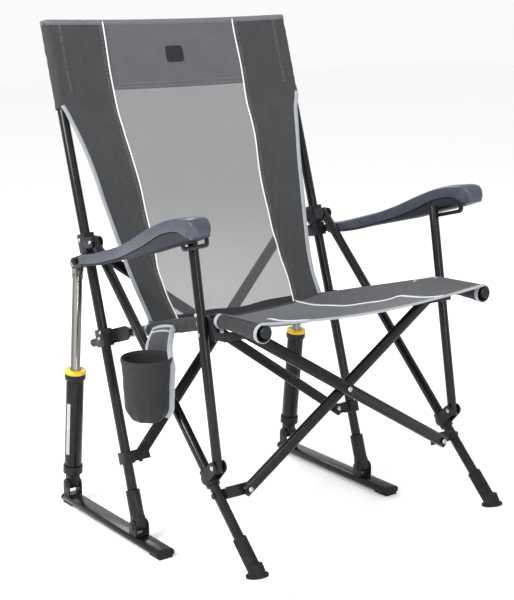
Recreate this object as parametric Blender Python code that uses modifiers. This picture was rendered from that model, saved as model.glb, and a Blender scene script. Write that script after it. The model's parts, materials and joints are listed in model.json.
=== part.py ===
"""Camp rocking chair: a folding tube frame on two sprung skids, at rest with its front feet clear of the ground.

Metres, +Z up. The chair faces -Y; +X is the sitter's left. Each side frame lies in a plane square to X.
A side's pieces are laid out in its own local frame: X outboard from the side plane, Y up along the rear post
from the rocking pin, and Z square to the post, towards the front.
"""

from math import atan2, cos, pi, radians, sin

import bmesh
import bpy
from mathutils import Matrix, Vector

# ---------------------------------------------------------------- driving dimensions
MIDDLE_X = 0.0195              # the chair's middle plane: the cup pouch widens the right side
SIDE_X = 0.311                 # side frames to the middle plane
LEAN = radians(18)             # the rear posts' lean from the vertical
ROCK_PIN_Y = 0.0544            # the rocking pin, on the post's axis
ROCK_PIN_Z = 0.040
GAP = 0.0003                   # between solids that touch

POST_LENGTH = 1.100
POST_R = 0.011
LEG_R = 0.0105
FRONT_POST_R = 0.010
RAIL_R = 0.011
WALL = 0.0015
BORE_PLAY = 0.0004             # a tube in the sleeve that slides on it
PIN_R = 0.0032
PIN_HOLE_R = 0.0036
BLOCK_HALF = 0.0125            # half width across X of the blocks on the post
PLATE_T = 0.0025               # pressed brackets
HUB_PLAY = 0.0010              # from the seat hub's plate to the brace that it holds
FOOT_DROP = 0.0030             # the sole under the end of the leg's line
EAR_IN = 0.0138                # a clevis's ears, from the side plane
EAR_OUT = 0.0170
EAR_R = 0.014
FORK_PIN_R = 0.0040
FORK_HOLE_R = 0.0044

# Side frame, in (along the post, in front of the post)
SLIDER = (0.6195, 0.0)
LEG_TOP = (0.6152, 0.038)
LEG_FOOT = (-0.0956, 0.430)
ARM_PIVOT = (0.5828, 0.0022)
ARM_PIN = (0.5498, 0.4210)
RAIL_PIVOT = (0.4111, 0.0679)
RAIL_HINGE = (0.3939, 0.3993)
RAIL_TIP = (0.3547, 0.5621)
FRONT_POST_LOW = (0.1152, 0.3607)
ROD_TOP = (0.5843, -0.0573)
BACK_BRACE_LOW = (0.1477, -0.0083)
BACK_BRACE_TOP = (0.6110, -0.0600)
HUB_ALONG_LEG = 0.5937
SWIVEL_ALONG_LEG = 0.634
FRONT_BRACE_LOW = (0.0584, 0.3685)
FRONT_BRACE_TOP = (0.3697, 0.4363)
ROCK_FORWARD = radians(10.2)   # turns the front feet down to the ground

RAIL_OUT = -0.030              # the rails, inboard of the side plane
BACK_BRACE_OUT = -0.041
FRONT_BRACE_OUT = -0.060

SKID_FRONT_Y = -0.108          # from the rocking pin
SKID_REAR_Y = 0.318
SKID_W = 0.042
SKID_H = 0.016
SKID_WALL = 0.0018
CAP_LENGTH = 0.008
PAD_H = 0.004                  # the caps' pads under the skid tube
PAD_LENGTH = 0.034
PAD_HALF_W = 0.016
CYLINDER_PIN_Y = 0.2985
CYLINDER_PIN_Z = 0.047

BRACE_W = 0.025
BRACE_T = 0.012
BRACE_END = 0.010              # past its pivots
BRACE_STEP = 0.0068            # each brace from the middle plane of its pair

POUCH_MID = (-0.3485, -0.0845, 0.454)  # centre of the pouch's rim
POUCH_RIM = (0.0445, 0.053)
POUCH_BASE = (0.034, 0.041)
POUCH_DEEP = 0.118

SHARP_ANGLE = radians(35)
SIDES = (("right", -1), ("left", 1))

# ---------------------------------------------------------------- materials: colour, roughness, metallic
FINISHES = {
    "frame_black": ((0.012, 0.012, 0.014), 0.35, 0.0),
    "bracket_black": ((0.014, 0.014, 0.016), 0.55, 0.0),
    "moulded_slate": ((0.045, 0.052, 0.065), 0.5, 0.0),
    "chrome": ((0.75, 0.75, 0.76), 0.15, 1.0),
    "ring_yellow": ((0.75, 0.55, 0.02), 0.45, 0.0),
    "foot_rubber": ((0.02, 0.02, 0.022), 0.7, 0.0),
    "spring_steel": ((0.35, 0.35, 0.36), 0.4, 1.0),
    "fabric_grey": ((0.11, 0.115, 0.12), 0.9, 0.0),
    "fabric_mesh": ((0.32, 0.33, 0.34), 0.9, 0.0),
    "pouch_fabric": ((0.02, 0.02, 0.022), 0.9, 0.0),
}


def clear_scene():
    for obj in list(bpy.data.objects):
        bpy.data.objects.remove(obj, do_unlink=True)


def material(name):
    made = bpy.data.materials.get(name)
    if made:
        return made
    colour, roughness, metallic = FINISHES[name]
    made = bpy.data.materials.new(name)
    made.use_nodes = True
    shader = made.node_tree.nodes["Principled BSDF"]
    shader.inputs["Base Color"].default_value = (*colour, 1.0)
    shader.inputs["Roughness"].default_value = roughness
    shader.inputs["Metallic"].default_value = metallic
    return made


def side_frame(side):
    """The matrix from a side's local frame to the world."""
    up = Vector((0, sin(LEAN), cos(LEAN)))
    ahead = Vector((0, -cos(LEAN), sin(LEAN)))
    frame = Matrix.Identity(4)
    for row in range(3):
        frame[row][0] = (side, 0, 0)[row]
        frame[row][1] = up[row]
        frame[row][2] = ahead[row]
        frame[row][3] = (MIDDLE_X + side * SIDE_X, ROCK_PIN_Y, ROCK_PIN_Z)[row]
    return frame


def local(out, place):
    return Vector((out, place[0], place[1]))


def local_of(y_from_pin, z, out=0.0):
    """The local place of a point given by its y from the rocking pin and its height."""
    rise = z - ROCK_PIN_Z
    return Vector((out, y_from_pin * sin(LEAN) + rise * cos(LEAN), rise * sin(LEAN) - y_from_pin * cos(LEAN)))


# ---------------------------------------------------------------- shapes, as bmeshes
def face_out(bm):
    """Turns the faces of a closed shape outwards."""
    bmesh.ops.recalc_face_normals(bm, faces=bm.faces[:])
    if bm.calc_volume(signed=True) < 0:
        bmesh.ops.reverse_faces(bm, faces=bm.faces[:])


def between(start, end, spin_axis=None):
    """A matrix whose Z runs from start to end, with its X along spin_axis where one is given."""
    z = (end - start).normalized()
    x = spin_axis or (Vector((1, 0, 0)) if abs(z.x) < 0.9 else Vector((0, 1, 0)))
    y = z.cross(x).normalized()
    x = y.cross(z)
    turn = Matrix((x, y, z)).transposed().to_4x4()
    return Matrix.Translation((start + end) / 2) @ turn


def cylinder(start, end, radius, sides=16, top_radius=None):
    bm = bmesh.new()
    bmesh.ops.create_cone(
        bm, cap_ends=True, segments=sides, radius1=radius,
        radius2=radius if top_radius is None else top_radius, depth=(end - start).length,
    )
    bm.transform(between(start, end))
    return bm


def oval(start, end, width, height, wide_axis, capped=True, sides=16):
    """A bar of flat-oval section: a round one whose halves are pulled apart along wide_axis."""
    bm = bmesh.new()
    radius = height / 2 / cos(pi / sides)
    bmesh.ops.create_cone(
        bm, cap_ends=capped, segments=sides, radius1=radius, radius2=radius, depth=(end - start).length
    )
    bm.transform(Matrix.Rotation(pi / sides, 4, "Z"))
    for vert in bm.verts:
        vert.co.x += (width - height) / 2 * (1 if vert.co.x > 0 else -1)
    bm.transform(between(start, end, wide_axis))
    return bm


def tube(start, end, radius, wall=WALL, sides=16):
    """An open-ended round tube."""
    bm = bmesh.new()
    bmesh.ops.create_cone(
        bm, cap_ends=False, segments=sides, radius1=radius, radius2=radius, depth=(end - start).length
    )
    bm.transform(between(start, end))
    return thicken(bm, wall)


def thicken(bm, wall):
    """The open surface given a wall inwards, by a Solidify modifier."""
    bmesh.ops.recalc_face_normals(bm, faces=bm.faces[:])
    centre = sum((vert.co for vert in bm.verts), Vector()) / len(bm.verts)
    outward = sum(face.calc_area() * face.normal.dot(face.calc_center_median() - centre) for face in bm.faces)
    if outward < 0:
        bmesh.ops.reverse_faces(bm, faces=bm.faces[:])
    mesh = bpy.data.meshes.new("shell")
    bm.to_mesh(mesh)
    bm.free()
    shell = bpy.data.objects.new("shell", mesh)
    bpy.context.collection.objects.link(shell)
    solid = shell.modifiers.new("Wall", "SOLIDIFY")
    solid.thickness = wall
    solid.offset = -1.0
    return from_evaluated(shell)


def from_evaluated(obj):
    """The object's evaluated mesh as a bmesh, with loose caps welded; the object is removed."""
    graph = bpy.context.evaluated_depsgraph_get()
    mesh = bpy.data.meshes.new_from_object(obj.evaluated_get(graph))
    bm = bmesh.new()
    bm.from_mesh(mesh)
    bm.transform(obj.matrix_world)
    bmesh.ops.remove_doubles(bm, verts=bm.verts[:], dist=1e-6)
    bmesh.ops.recalc_face_normals(bm, faces=bm.faces[:])
    bpy.data.objects.remove(obj, do_unlink=True)
    bpy.data.meshes.remove(mesh)
    return bm


def box(low, high):
    low, high = Vector(low), Vector(high)
    bm = bmesh.new()
    bmesh.ops.create_cube(bm, size=1.0)
    size = high - low
    bm.transform(Matrix.Translation((low + high) / 2) @ Matrix.Diagonal((*size, 1.0)))
    return bm


def plate(outline, out_low, out_high):
    """A flat outline in the side plane, given thickness across X."""
    curve = bpy.data.curves.new("outline", "CURVE")
    curve.dimensions = "2D"
    curve.fill_mode = "BOTH"
    curve.extrude = (out_high - out_low) / 2
    spline = curve.splines.new("POLY")
    spline.points.add(len(outline) - 1)
    for point, (along, ahead) in zip(spline.points, outline):
        point.co = (along, ahead, 0, 1)
    spline.use_cyclic_u = True
    obj = bpy.data.objects.new("outline", curve)
    bpy.context.collection.objects.link(obj)
    bm = from_evaluated(obj)
    to_side = Matrix(((0, 0, 1, (out_low + out_high) / 2), (1, 0, 0, 0), (0, 1, 0, 0), (0, 0, 0, 1)))
    bm.transform(to_side)
    return bm


def link_outline(start, end, radius, steps=6):
    """The outline of a flat link with round ends."""
    angle = atan2(end[1] - start[1], end[0] - start[0])
    points = []
    for centre, turn in ((end, angle - pi / 2), (start, angle + pi / 2)):
        for step in range(steps + 1):
            a = turn + pi * step / steps
            points.append((centre[0] + radius * cos(a), centre[1] + radius * sin(a)))
    return points


def link(start, end, radius, out_low, out_high):
    return plate(link_outline(start, end, radius), out_low, out_high)


def turned(profile, start, end, sides=16):
    """A closed profile of (radius, distance from start), turned about the line from start to end."""
    mesh = bpy.data.meshes.new("profile")
    ring = bmesh.new()
    verts = [ring.verts.new((radius, 0, height)) for radius, height in profile]
    for index, vert in enumerate(verts):
        ring.edges.new((vert, verts[(index + 1) % len(verts)]))
    ring.to_mesh(mesh)
    ring.free()
    obj = bpy.data.objects.new("profile", mesh)
    bpy.context.collection.objects.link(obj)
    screw = obj.modifiers.new("Turn", "SCREW")
    screw.steps = sides
    screw.render_steps = sides
    screw.use_merge_vertices = True
    screw.merge_threshold = 1e-5
    bm = from_evaluated(obj)
    length = (end - start).length
    bm.transform(between(start, end) @ Matrix.Translation((0, 0, -length / 2)))
    return bm


def combine(target, tool, operation):
    """The Boolean of two bmeshes, both of which it uses up."""
    objects = []
    for bm in (target, tool):
        mesh = bpy.data.meshes.new("operand")
        face_out(bm)
        bm.to_mesh(mesh)
        bm.free()
        obj = bpy.data.objects.new("operand", mesh)
        bpy.context.collection.objects.link(obj)
        objects.append(obj)
    cut = objects[0].modifiers.new("Boolean", "BOOLEAN")
    cut.operation = operation
    cut.object = objects[1]
    cut.solver = "EXACT"
    result = from_evaluated(objects[0])
    bpy.data.objects.remove(objects[1], do_unlink=True)
    return result


def join(*shapes):
    result = shapes[0]
    for shape in shapes[1:]:
        result = combine(result, shape, "UNION")
    return result


def cut(target, *tools):
    for tool in tools:
        target = combine(target, tool, "DIFFERENCE")
    return target


def across(place, out_low, out_high, radius, sides=12):
    """A pin or a hole along X through a place of the side plane."""
    return cylinder(local(out_low, place), local(out_high, place), radius, sides)


def drilled(shape, place, out_low=-0.08, out_high=0.08, radius=PIN_HOLE_R):
    return cut(shape, across(place, out_low, out_high, radius))


# ---------------------------------------------------------------- the parts
class Builder:
    """Links each piece in the chair's collection, on the axis of the body that it moves with."""

    def __init__(self):
        self.collection = bpy.data.collections.new("camp_rocking_chair")
        bpy.context.scene.collection.children.link(self.collection)
        self.axes = {}
        self.origins = {}

    def axis(self, body, origin, parent=None):
        """An empty on a body's joint axis, which the body's pieces are parented to."""
        empty = bpy.data.objects.new("axis_" + body, None)
        empty.location = origin
        if parent:
            empty.parent = self.axes[parent]
            empty.location = origin - self.origins[parent]
        self.collection.objects.link(empty)
        self.axes[body] = empty
        self.origins[body] = origin

    def add(self, name, bm, finish, body, frame=None):
        if frame is not None:
            bm.transform(frame)
        bm.transform(Matrix.Translation(-self.origins[body]))
        face_out(bm)
        mesh = bpy.data.meshes.new(name)
        bm.to_mesh(mesh)
        bm.free()
        mesh.shade_smooth()
        mesh.set_sharp_from_angle(angle=SHARP_ANGLE)
        mesh.materials.append(material(finish))
        obj = bpy.data.objects.new(name, mesh)
        obj.parent = self.axes[body]
        self.collection.objects.link(obj)
        return obj


def leg_direction():
    return (local(0, LEG_FOOT) - local(0, LEG_TOP)).normalized()


def leg_place(distance):
    """The place that lies a distance down the diagonal leg."""
    point = local(0, LEG_TOP) + leg_direction() * distance
    return (point.y, point.z)


def offset(place, along, ahead):
    return (place[0] + along, place[1] + ahead)


def make_axes(builder, name, side):
    frame = side_frame(side)
    pin = local_of(CYLINDER_PIN_Y, CYLINDER_PIN_Z)
    places = {
        "skid": ((0, 0), None), "post": ((0, 0), "skid"), "cylinder": ((pin.y, pin.z), "skid"),
        "slider": (SLIDER, "post"),
        "leg": (LEG_TOP, "slider"), "leg_hub": (leg_place(HUB_ALONG_LEG), "leg"),
        "rail_block": (RAIL_PIVOT, "post"), "rail": (RAIL_PIVOT, "rail_block"),
        "front_post": (RAIL_HINGE, "rail"), "arm": (ARM_PIVOT, "post"),
        "swivel": (leg_place(SWIVEL_ALONG_LEG), "leg"), "rod": (ROD_TOP, "cylinder"),
    }
    for body, (place, parent) in places.items():
        builder.axis(f"{body}_{name}", frame @ local(0, place), parent and f"{parent}_{name}")
    builder.axis(f"front_brace_{name}", frame @ local(FRONT_BRACE_OUT, FRONT_BRACE_LOW), f"swivel_{name}")
    builder.axis(f"back_brace_{name}", frame @ local(BACK_BRACE_OUT, BACK_BRACE_LOW), f"post_{name}")


def make_skid(builder, name, side):
    body = f"skid_{name}"
    x = MIDDLE_X + side * SIDE_X
    middle = PAD_H + SKID_H / 2
    front = Vector((x, ROCK_PIN_Y + SKID_FRONT_Y + CAP_LENGTH, middle))
    rear = Vector((x, ROCK_PIN_Y + SKID_REAR_Y - CAP_LENGTH, middle))
    wide = Vector((1, 0, 0))
    skid = thicken(oval(front, rear, SKID_W, SKID_H, wide, False), SKID_WALL)
    builder.add(f"skid_{name}", skid, "frame_black", body)
    for piece, end, way in (("front", front, -1), ("rear", rear, 1)):
        face = end + Vector((0, way * GAP, 0))
        outer = end + Vector((0, way * (CAP_LENGTH + GAP), 0))
        inner_y = end.y - way * PAD_LENGTH
        pad = box_between(x - PAD_HALF_W, x + PAD_HALF_W, outer.y, inner_y, 0, PAD_H - GAP)
        riser = box_between(x - PAD_HALF_W, x + PAD_HALF_W, face.y, outer.y, PAD_H / 4, PAD_H * 2)
        cap = join(oval(face, outer, SKID_W, SKID_H, wide), pad, riser)
        builder.add(f"skid_{piece}_cap_{name}", cap, "foot_rubber", body)
    top = PAD_H + SKID_H + GAP
    for piece, y, z in (
        ("front", ROCK_PIN_Y, ROCK_PIN_Z),
        ("rear", ROCK_PIN_Y + CYLINDER_PIN_Y, CYLINDER_PIN_Z),
    ):
        builder.add(f"skid_{piece}_bracket_{name}", clevis(x, y, z, top), "bracket_black", body)


def box_between(x0, x1, y0, y1, z0, z1):
    return box((min(x0, x1), min(y0, y1), min(z0, z1)), (max(x0, x1), max(y0, y1), max(z0, z1)))




def clevis(x, y, z, top):
    """A pin held by two round-topped ears on a base plate that is welded on the skid, in world places."""
    bracket = box((x - EAR_OUT, y - EAR_R, top), (x + EAR_OUT, y + EAR_R, top + 0.003))
    for way in (-1, 1):
        ear = box_between(x + way * EAR_IN, x + way * EAR_OUT, y - EAR_R, y + EAR_R, top, z)
        low, high = Vector((x + way * EAR_IN, y, z)), Vector((x + way * EAR_OUT, y, z))
        head = high + Vector((way * 0.0025, 0, 0))
        bracket = join(bracket, ear, cylinder(low, high, EAR_R, 20), cylinder(high, head, 0.0075, 12))
    reach = Vector((EAR_OUT, 0, 0))
    middle = Vector((x, y, z))
    return join(bracket, cylinder(middle - reach, middle + reach, FORK_PIN_R, 12))


def make_post(builder, name, frame):
    body = f"post_{name}"
    post_start = 0.030
    post = tube(local(0, (post_start, 0)), local(0, (POST_LENGTH, 0)), POST_R)
    builder.add(f"rear_post_{name}", post, "frame_black", body, frame)

    sleeve = turned(
        [(0.0155, 0.078), (0.0155, 0.024), (0.0125, 0.017), (0.0125, 0.006), (0.0, 0.006),
         (0.0, post_start - GAP), (POST_R + GAP, post_start - GAP), (POST_R + GAP, 0.078)],
        local(0, (0, 0)), local(0, (0.1, 0)),
    )
    tongue = link((0.0, 0.0), (0.016, 0.0), 0.0115, -0.0125, 0.0125)
    sleeve = drilled(join(sleeve, tongue), (0, 0), radius=FORK_HOLE_R)
    builder.add(f"post_sleeve_{name}", sleeve, "bracket_black", body, frame)

    bracket = join(
        block_on_post(0.5680, 0.5980, 0.0145),
        link(offset(ROD_TOP, 0, 0), (0.5843, -0.004), 0.0125, 0.0098, BLOCK_HALF),
        link(offset(ROD_TOP, 0, 0), (0.5843, -0.004), 0.0125, -BLOCK_HALF, -0.0098),
        across(ARM_PIVOT, 0.0110, 0.0400, 0.0050, 16),
        across(ARM_PIVOT, 0.0385, 0.0415, 0.0090, 16),
    )
    builder.add(f"arm_bracket_{name}", bored(bracket, POST_R + GAP), "bracket_black", body, frame)

    low = BACK_BRACE_LOW[0]
    face = BRACE_STEP + BRACE_T / 2 + GAP
    lower = join(
        block_on_post(low - 0.013, low + 0.013, 0.0140),
        slab(BACK_BRACE_LOW, BACK_PLANE, (-0.012, 0.012), (face, face + PLATE_T),
             (BACK_BRACE_OUT - 0.013, -0.0120)),
        brace_rivet(BACK_BRACE_OUT, BACK_BRACE_LOW, BACK_PLANE, face, brace_side(name)),
    )
    builder.add(f"back_brace_bracket_{name}", bored(lower, POST_R + GAP), "bracket_black", body, frame)


def brace_side(name):
    """Which of its pair's two planes a side's brace lies in: 1 is the front one."""
    return -1 if name == "right" else 1


def brace_plane(low, high):
    """The unit vectors up a brace pair's plane and square to it, to the front, in the side plane."""
    along = (local(0, high) - local(0, low)).normalized()
    return along, Vector((0, -along.z, along.y))


BACK_PLANE = brace_plane(BACK_BRACE_LOW, BACK_BRACE_TOP)
FRONT_PLANE = brace_plane(FRONT_BRACE_LOW, FRONT_BRACE_TOP)


def slab(place, plane, along_range, ahead_range, out_range):
    """A block laid along a brace pair's plane, from ranges along it, in front of it and across X."""
    along, ahead = plane
    near, far = ahead_range
    corners = [(along_range[0], near), (along_range[1], near), (along_range[1], far), (along_range[0], far)]
    points = [local(0, place) + along * a + ahead * b for a, b in corners]
    return plate([(point.y, point.z) for point in points], *out_range)


def brace_rivet(out, place, plane, root, step_side):
    """A rivet from a plate's face at root, through one brace of the pair to a head on its far side."""
    ahead = plane[1]
    middle = local(out, place)
    way = 1 if root < 0 else -1
    near = BRACE_STEP * step_side - way * (BRACE_T / 2 + GAP)
    far = BRACE_STEP * step_side + way * (BRACE_T / 2 + GAP)
    rivet = cylinder(middle + ahead * (root - way * 0.001), middle + ahead * (far + way * 0.001), PIN_R, 12)
    head = cylinder(middle + ahead * far, middle + ahead * (far + way * 0.0025), 0.0062, 12)
    rivet = join(rivet, head)
    if abs(near - root) > BRACE_STEP:
        spacer = cylinder(middle + ahead * (root - way * 0.001), middle + ahead * near, 0.0062, 12)
        rivet = join(rivet, spacer)
    return rivet


def block_on_post(low, high, half_depth):
    return box((-BLOCK_HALF, low, -half_depth), (BLOCK_HALF, high, half_depth))


def bored(shape, radius):
    """The shape with the post's bore through it."""
    return cut(shape, cylinder(local(0, (-0.1, 0)), local(0, (1.3, 0)), radius, 16))


def make_slider(builder, name, frame):
    low, high = 0.5990, 0.6400
    face = BRACE_STEP + BRACE_T / 2 + GAP
    lug = (-0.0110, 0.0150)
    slider = join(
        block_on_post(low, high, 0.0160),
        link((LEG_TOP[0] + 0.002, 0.022), LEG_TOP, 0.0120, LEG_R + GAP, BLOCK_HALF + 0.0005),
        link((LEG_TOP[0] + 0.002, 0.022), LEG_TOP, 0.0120, -BLOCK_HALF - 0.0005, -LEG_R - GAP),
        across(LEG_TOP, -0.0118, 0.0118, PIN_R),
        slab(BACK_BRACE_TOP, BACK_PLANE, lug, (face + GAP, 0.074), (-BLOCK_HALF - PLATE_T, -BLOCK_HALF + 0.0007)),
        slab(BACK_BRACE_TOP, BACK_PLANE, (-0.0108, 0.0148), (face, face + PLATE_T),
             (BACK_BRACE_OUT - 0.013, -BLOCK_HALF - 0.0003)),
    )
    builder.add(f"upper_slider_{name}", bored(slider, POST_R + BORE_PLAY), "bracket_black",
                f"slider_{name}", frame)


def make_leg(builder, name, frame):
    direction = leg_direction()
    top = local(0, LEG_TOP) - direction * 0.010
    foot = local(0, LEG_FOOT)
    leg_end = foot - direction * 0.018
    leg = drilled(drilled(tube(top, leg_end, LEG_R), leg_place(SWIVEL_ALONG_LEG)), LEG_TOP)
    builder.add(f"front_leg_{name}", leg, "frame_black", f"leg_{name}", frame)

    up = Vector((0, cos(LEAN - ROCK_FORWARD), sin(LEAN - ROCK_FORWARD)))
    sole = foot - up * FOOT_DROP
    shoe = join(
        cylinder(foot - direction * 0.006, foot - direction * 0.080, 0.0142),
        cylinder(sole, sole + up * 0.005, 0.0225, 20),
        cylinder(sole + up * 0.004, sole + up * 0.026, 0.0185, 16, 0.0125),
    )
    socket = cylinder(leg_end + direction * GAP, foot - direction * 0.12, LEG_R + GAP)
    under = cylinder(sole, sole - up * 0.04, 0.05, 8)
    builder.add(f"foot_{name}", cut(shoe, socket, under), "foot_rubber", f"leg_{name}", frame)

    middle = local(0, leg_place(HUB_ALONG_LEG))
    reach = direction * 0.018
    hub = cylinder(middle - reach, middle + reach, 0.0148)
    for low, high in ((-0.0140, -0.0110), (0.0110, 0.0140)):
        hub = join(hub, link(leg_place(HUB_ALONG_LEG), FRONT_POST_LOW, 0.0122, low, high))
    hub = cut(hub, cylinder(middle - reach * 4, middle + reach * 4, LEG_R + BORE_PLAY))
    builder.add(f"leg_hub_{name}", drilled(hub, FRONT_POST_LOW), "bracket_black", f"leg_hub_{name}", frame)


def make_rail_block(builder, name, frame):
    middle = RAIL_PIVOT[0]
    block = join(
        block_on_post(middle - 0.019, middle + 0.019, 0.0160),
        link((middle, 0.0), (middle, 0.004), 0.0160, -0.0187, -BLOCK_HALF + 0.001),
        link((middle, 0.002), RAIL_PIVOT, 0.0155, -0.0184, -0.0153),
        cylinder(local(0, (middle - 0.006, -0.015)), local(0, (middle - 0.006, -0.052)), 0.0090, 14),
        across(RAIL_PIVOT, -0.0460, -0.0160, PIN_R),
        across(RAIL_PIVOT, -0.0460, -0.0425, 0.0060),
    )
    builder.add(f"rail_block_{name}", bored(block, POST_R + BORE_PLAY), "bracket_black",
                f"rail_block_{name}", frame)


def bent_tube(points, radius, out):
    """A hollow tube along the smooth path through places of the side plane."""
    curve = bpy.data.curves.new("path", "CURVE")
    curve.dimensions = "3D"
    curve.bevel_depth = radius
    curve.bevel_resolution = 2
    curve.use_fill_caps = False
    spline = curve.splines.new("POLY")
    spline.points.add(len(points) - 1)
    for point, place in zip(spline.points, points):
        point.co = (out, place[0], place[1], 1)
    obj = bpy.data.objects.new("path", curve)
    bpy.context.collection.objects.link(obj)
    return thicken(from_evaluated(obj), WALL)


def rail_path(steps=4):
    """The rail from behind its pivot to its tip, with a soft bend at the front post."""
    pivot, hinge, tip = (Vector(p) for p in (RAIL_PIVOT, RAIL_HINGE, RAIL_TIP))
    start = pivot - (hinge - pivot).normalized() * 0.013
    before = hinge + (pivot - hinge).normalized() * -0.012
    after = hinge + (tip - hinge).normalized() * 0.050
    corner = hinge + (hinge - pivot).normalized() * 0.026
    bend = []
    for step in range(steps + 1):
        t = step / steps
        bend.append(before.lerp(corner, t).lerp(corner.lerp(after, t), t))
    return [start, *bend, tip]


def make_rail(builder, name, frame):
    rail = bent_tube(rail_path(), RAIL_R, RAIL_OUT)
    rail = drilled(rail, RAIL_PIVOT, -0.06, -0.01)
    rail = drilled(rail, RAIL_HINGE, -0.06, -0.01)
    builder.add(f"seat_rail_{name}", rail, "frame_black", f"rail_{name}", frame)


def make_front_post(builder, name, frame):
    body = f"front_post_{name}"
    top, low = local(0, ARM_PIN), local(0, FRONT_POST_LOW)
    along = (top - low).normalized()
    post = tube(low - along * 0.012, top + along * 0.012, FRONT_POST_R)
    builder.add(f"front_post_{name}", post, "frame_black", body, frame)

    hinge = RAIL_HINGE
    reach = FRONT_BRACE_TOP[0] - hinge[0]
    face = BRACE_STEP * brace_side(name) * -1 + BRACE_T / 2 + HUB_PLAY
    hub = join(
        link(hinge, offset(hinge, reach, 0.0150), 0.0140, -0.0160, -FRONT_POST_R - GAP),
        slab(FRONT_BRACE_TOP, FRONT_PLANE, (-0.0160, 0.0020), (face, face + PLATE_T),
             (FRONT_BRACE_OUT - 0.012, -0.0112)),
        slab(FRONT_BRACE_TOP, FRONT_PLANE, (-0.0150, 0.0010), (-0.0250, face + 0.0005), (-0.0155, -0.0108)),
        across(hinge, -0.0440, -0.0140, PIN_R),
        across(hinge, -0.0440, -RAIL_R + RAIL_OUT - GAP, 0.0060),
    )
    builder.add(f"seat_hub_{name}", hub, "bracket_black", body, frame)


def make_arm(builder, name, frame):
    body = f"arm_{name}"
    pad_low, pad_high = 0.0135, 0.0625
    pad = plate(
        [(0.5780, 0.125), (0.5900, 0.135), (0.5935, 0.230), (0.5940, 0.330), (0.5920, 0.430), (0.5840, 0.500),
         (0.5710, 0.538), (0.5590, 0.545), (0.5530, 0.540), (0.5530, 0.480), (0.5580, 0.380), (0.5640, 0.250),
         (0.5650, 0.140)],
        pad_low, pad_high,
    )
    strut = plate(
        [(0.5920, -0.006), (0.5945, 0.006), (0.5915, 0.150), (0.5695, 0.150), (0.5710, 0.006), (0.5735, -0.006),
         (0.5780, -0.009), (0.5880, -0.009)],
        0.0135, 0.0375,
    )
    arm = drilled(join(pad, strut), ARM_PIVOT, radius=0.0055)
    builder.add(f"armrest_{name}", arm, "moulded_slate", body, frame)
    low, high = offset(ARM_PIN, 0, -0.004), offset(ARM_PIN, -0.004, 0.062)
    loop = join(
        link(offset(low, -0.001, -0.004), offset(high, -0.001, 0.004), 0.0125, 0.0125, 0.0160),
    )
    loop = cut(loop, link(low, high, 0.0055, 0.0, 0.03))
    ceiling = plate([(0.62, 0.30), (0.62, 0.60), (0.5530 - GAP, 0.60), (0.5530 - GAP, 0.48),
                     (0.5580 - GAP, 0.38), (0.5640, 0.30)], 0.0, 0.03)
    builder.add(f"arm_loop_{name}", cut(loop, ceiling), "bracket_black", body, frame)


def make_piston(builder, name, frame):
    pin = local_of(CYLINDER_PIN_Y, CYLINDER_PIN_Z)
    top = local(0, ROD_TOP)
    along = (top - pin).normalized()

    def at(distance):
        return pin + along * distance

    body = f"cylinder_{name}"
    shell = tube(at(0.0400), at(0.2680), 0.0200, sides=20)
    builder.add(f"piston_cylinder_{name}", shell, "frame_black", body, frame)
    ring = turned(
        [(0.0235, 0.284), (0.0240, 0.2665), (0.0203, 0.2665), (0.0203, 0.2683), (0.0118, 0.2683), (0.0118, 0.284)],
        pin, at(0.1), 20,
    )
    builder.add(f"piston_ring_{name}", ring, "ring_yellow", body, frame)
    collar = turned(
        [(0.0225, 0.048), (0.0225, 0.030), (0.0130, 0.022), (0.0, 0.022), (0.0, 0.0397), (0.0203, 0.0397),
         (0.0203, 0.048)],
        pin, at(0.1), 20,
    )
    pin_place = (pin.y, pin.z)
    neck = at(0.026)
    tongue = link(pin_place, (neck.y, neck.z), 0.0110, -0.0125, 0.0125)
    collar = drilled(join(collar, tongue), pin_place, radius=FORK_HOLE_R)
    builder.add(f"piston_fork_{name}", collar, "bracket_black", body, frame)
    spring = coil(at(0.046), at(0.1485), 0.0140, 0.0018, 6)
    builder.add(f"piston_spring_{name}", spring, "spring_steel", body, frame)
    rod = turned(
        [(0.0110, 0.500), (0.0110, 0.163), (0.0178, 0.163), (0.0178, 0.152), (0.0095, 0.152), (0.0095, 0.500)],
        pin, at(0.1), 16,
    )
    neck = at(0.505)
    rod = join(rod, cylinder(at(0.497), at(0.509), 0.0110, 16),
               link(ROD_TOP, (neck.y, neck.z), 0.0100, -0.0090, 0.0090))
    builder.add(f"piston_rod_{name}", rod, "chrome", f"rod_{name}", frame)


def coil(start, end, radius, wire, turns, steps=10):
    """A compression spring's wire along a helix, as a capped curve."""
    curve = bpy.data.curves.new("coil", "CURVE")
    curve.dimensions = "3D"
    curve.bevel_depth = wire
    curve.bevel_resolution = 2
    curve.use_fill_caps = True
    spline = curve.splines.new("POLY")
    count = turns * steps + 1
    spline.points.add(count - 1)
    length = (end - start).length - 2 * wire
    for index, point in enumerate(spline.points):
        angle = 2 * pi * index / steps
        height = wire + length * index / (count - 1)
        point.co = (radius * cos(angle), radius * sin(angle), height, 1)
    obj = bpy.data.objects.new("coil", curve)
    bpy.context.collection.objects.link(obj)
    bm = from_evaluated(obj)
    full = (end - start).length
    bm.transform(between(start, end) @ Matrix.Translation((0, 0, -full / 2)))
    return bm


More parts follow.
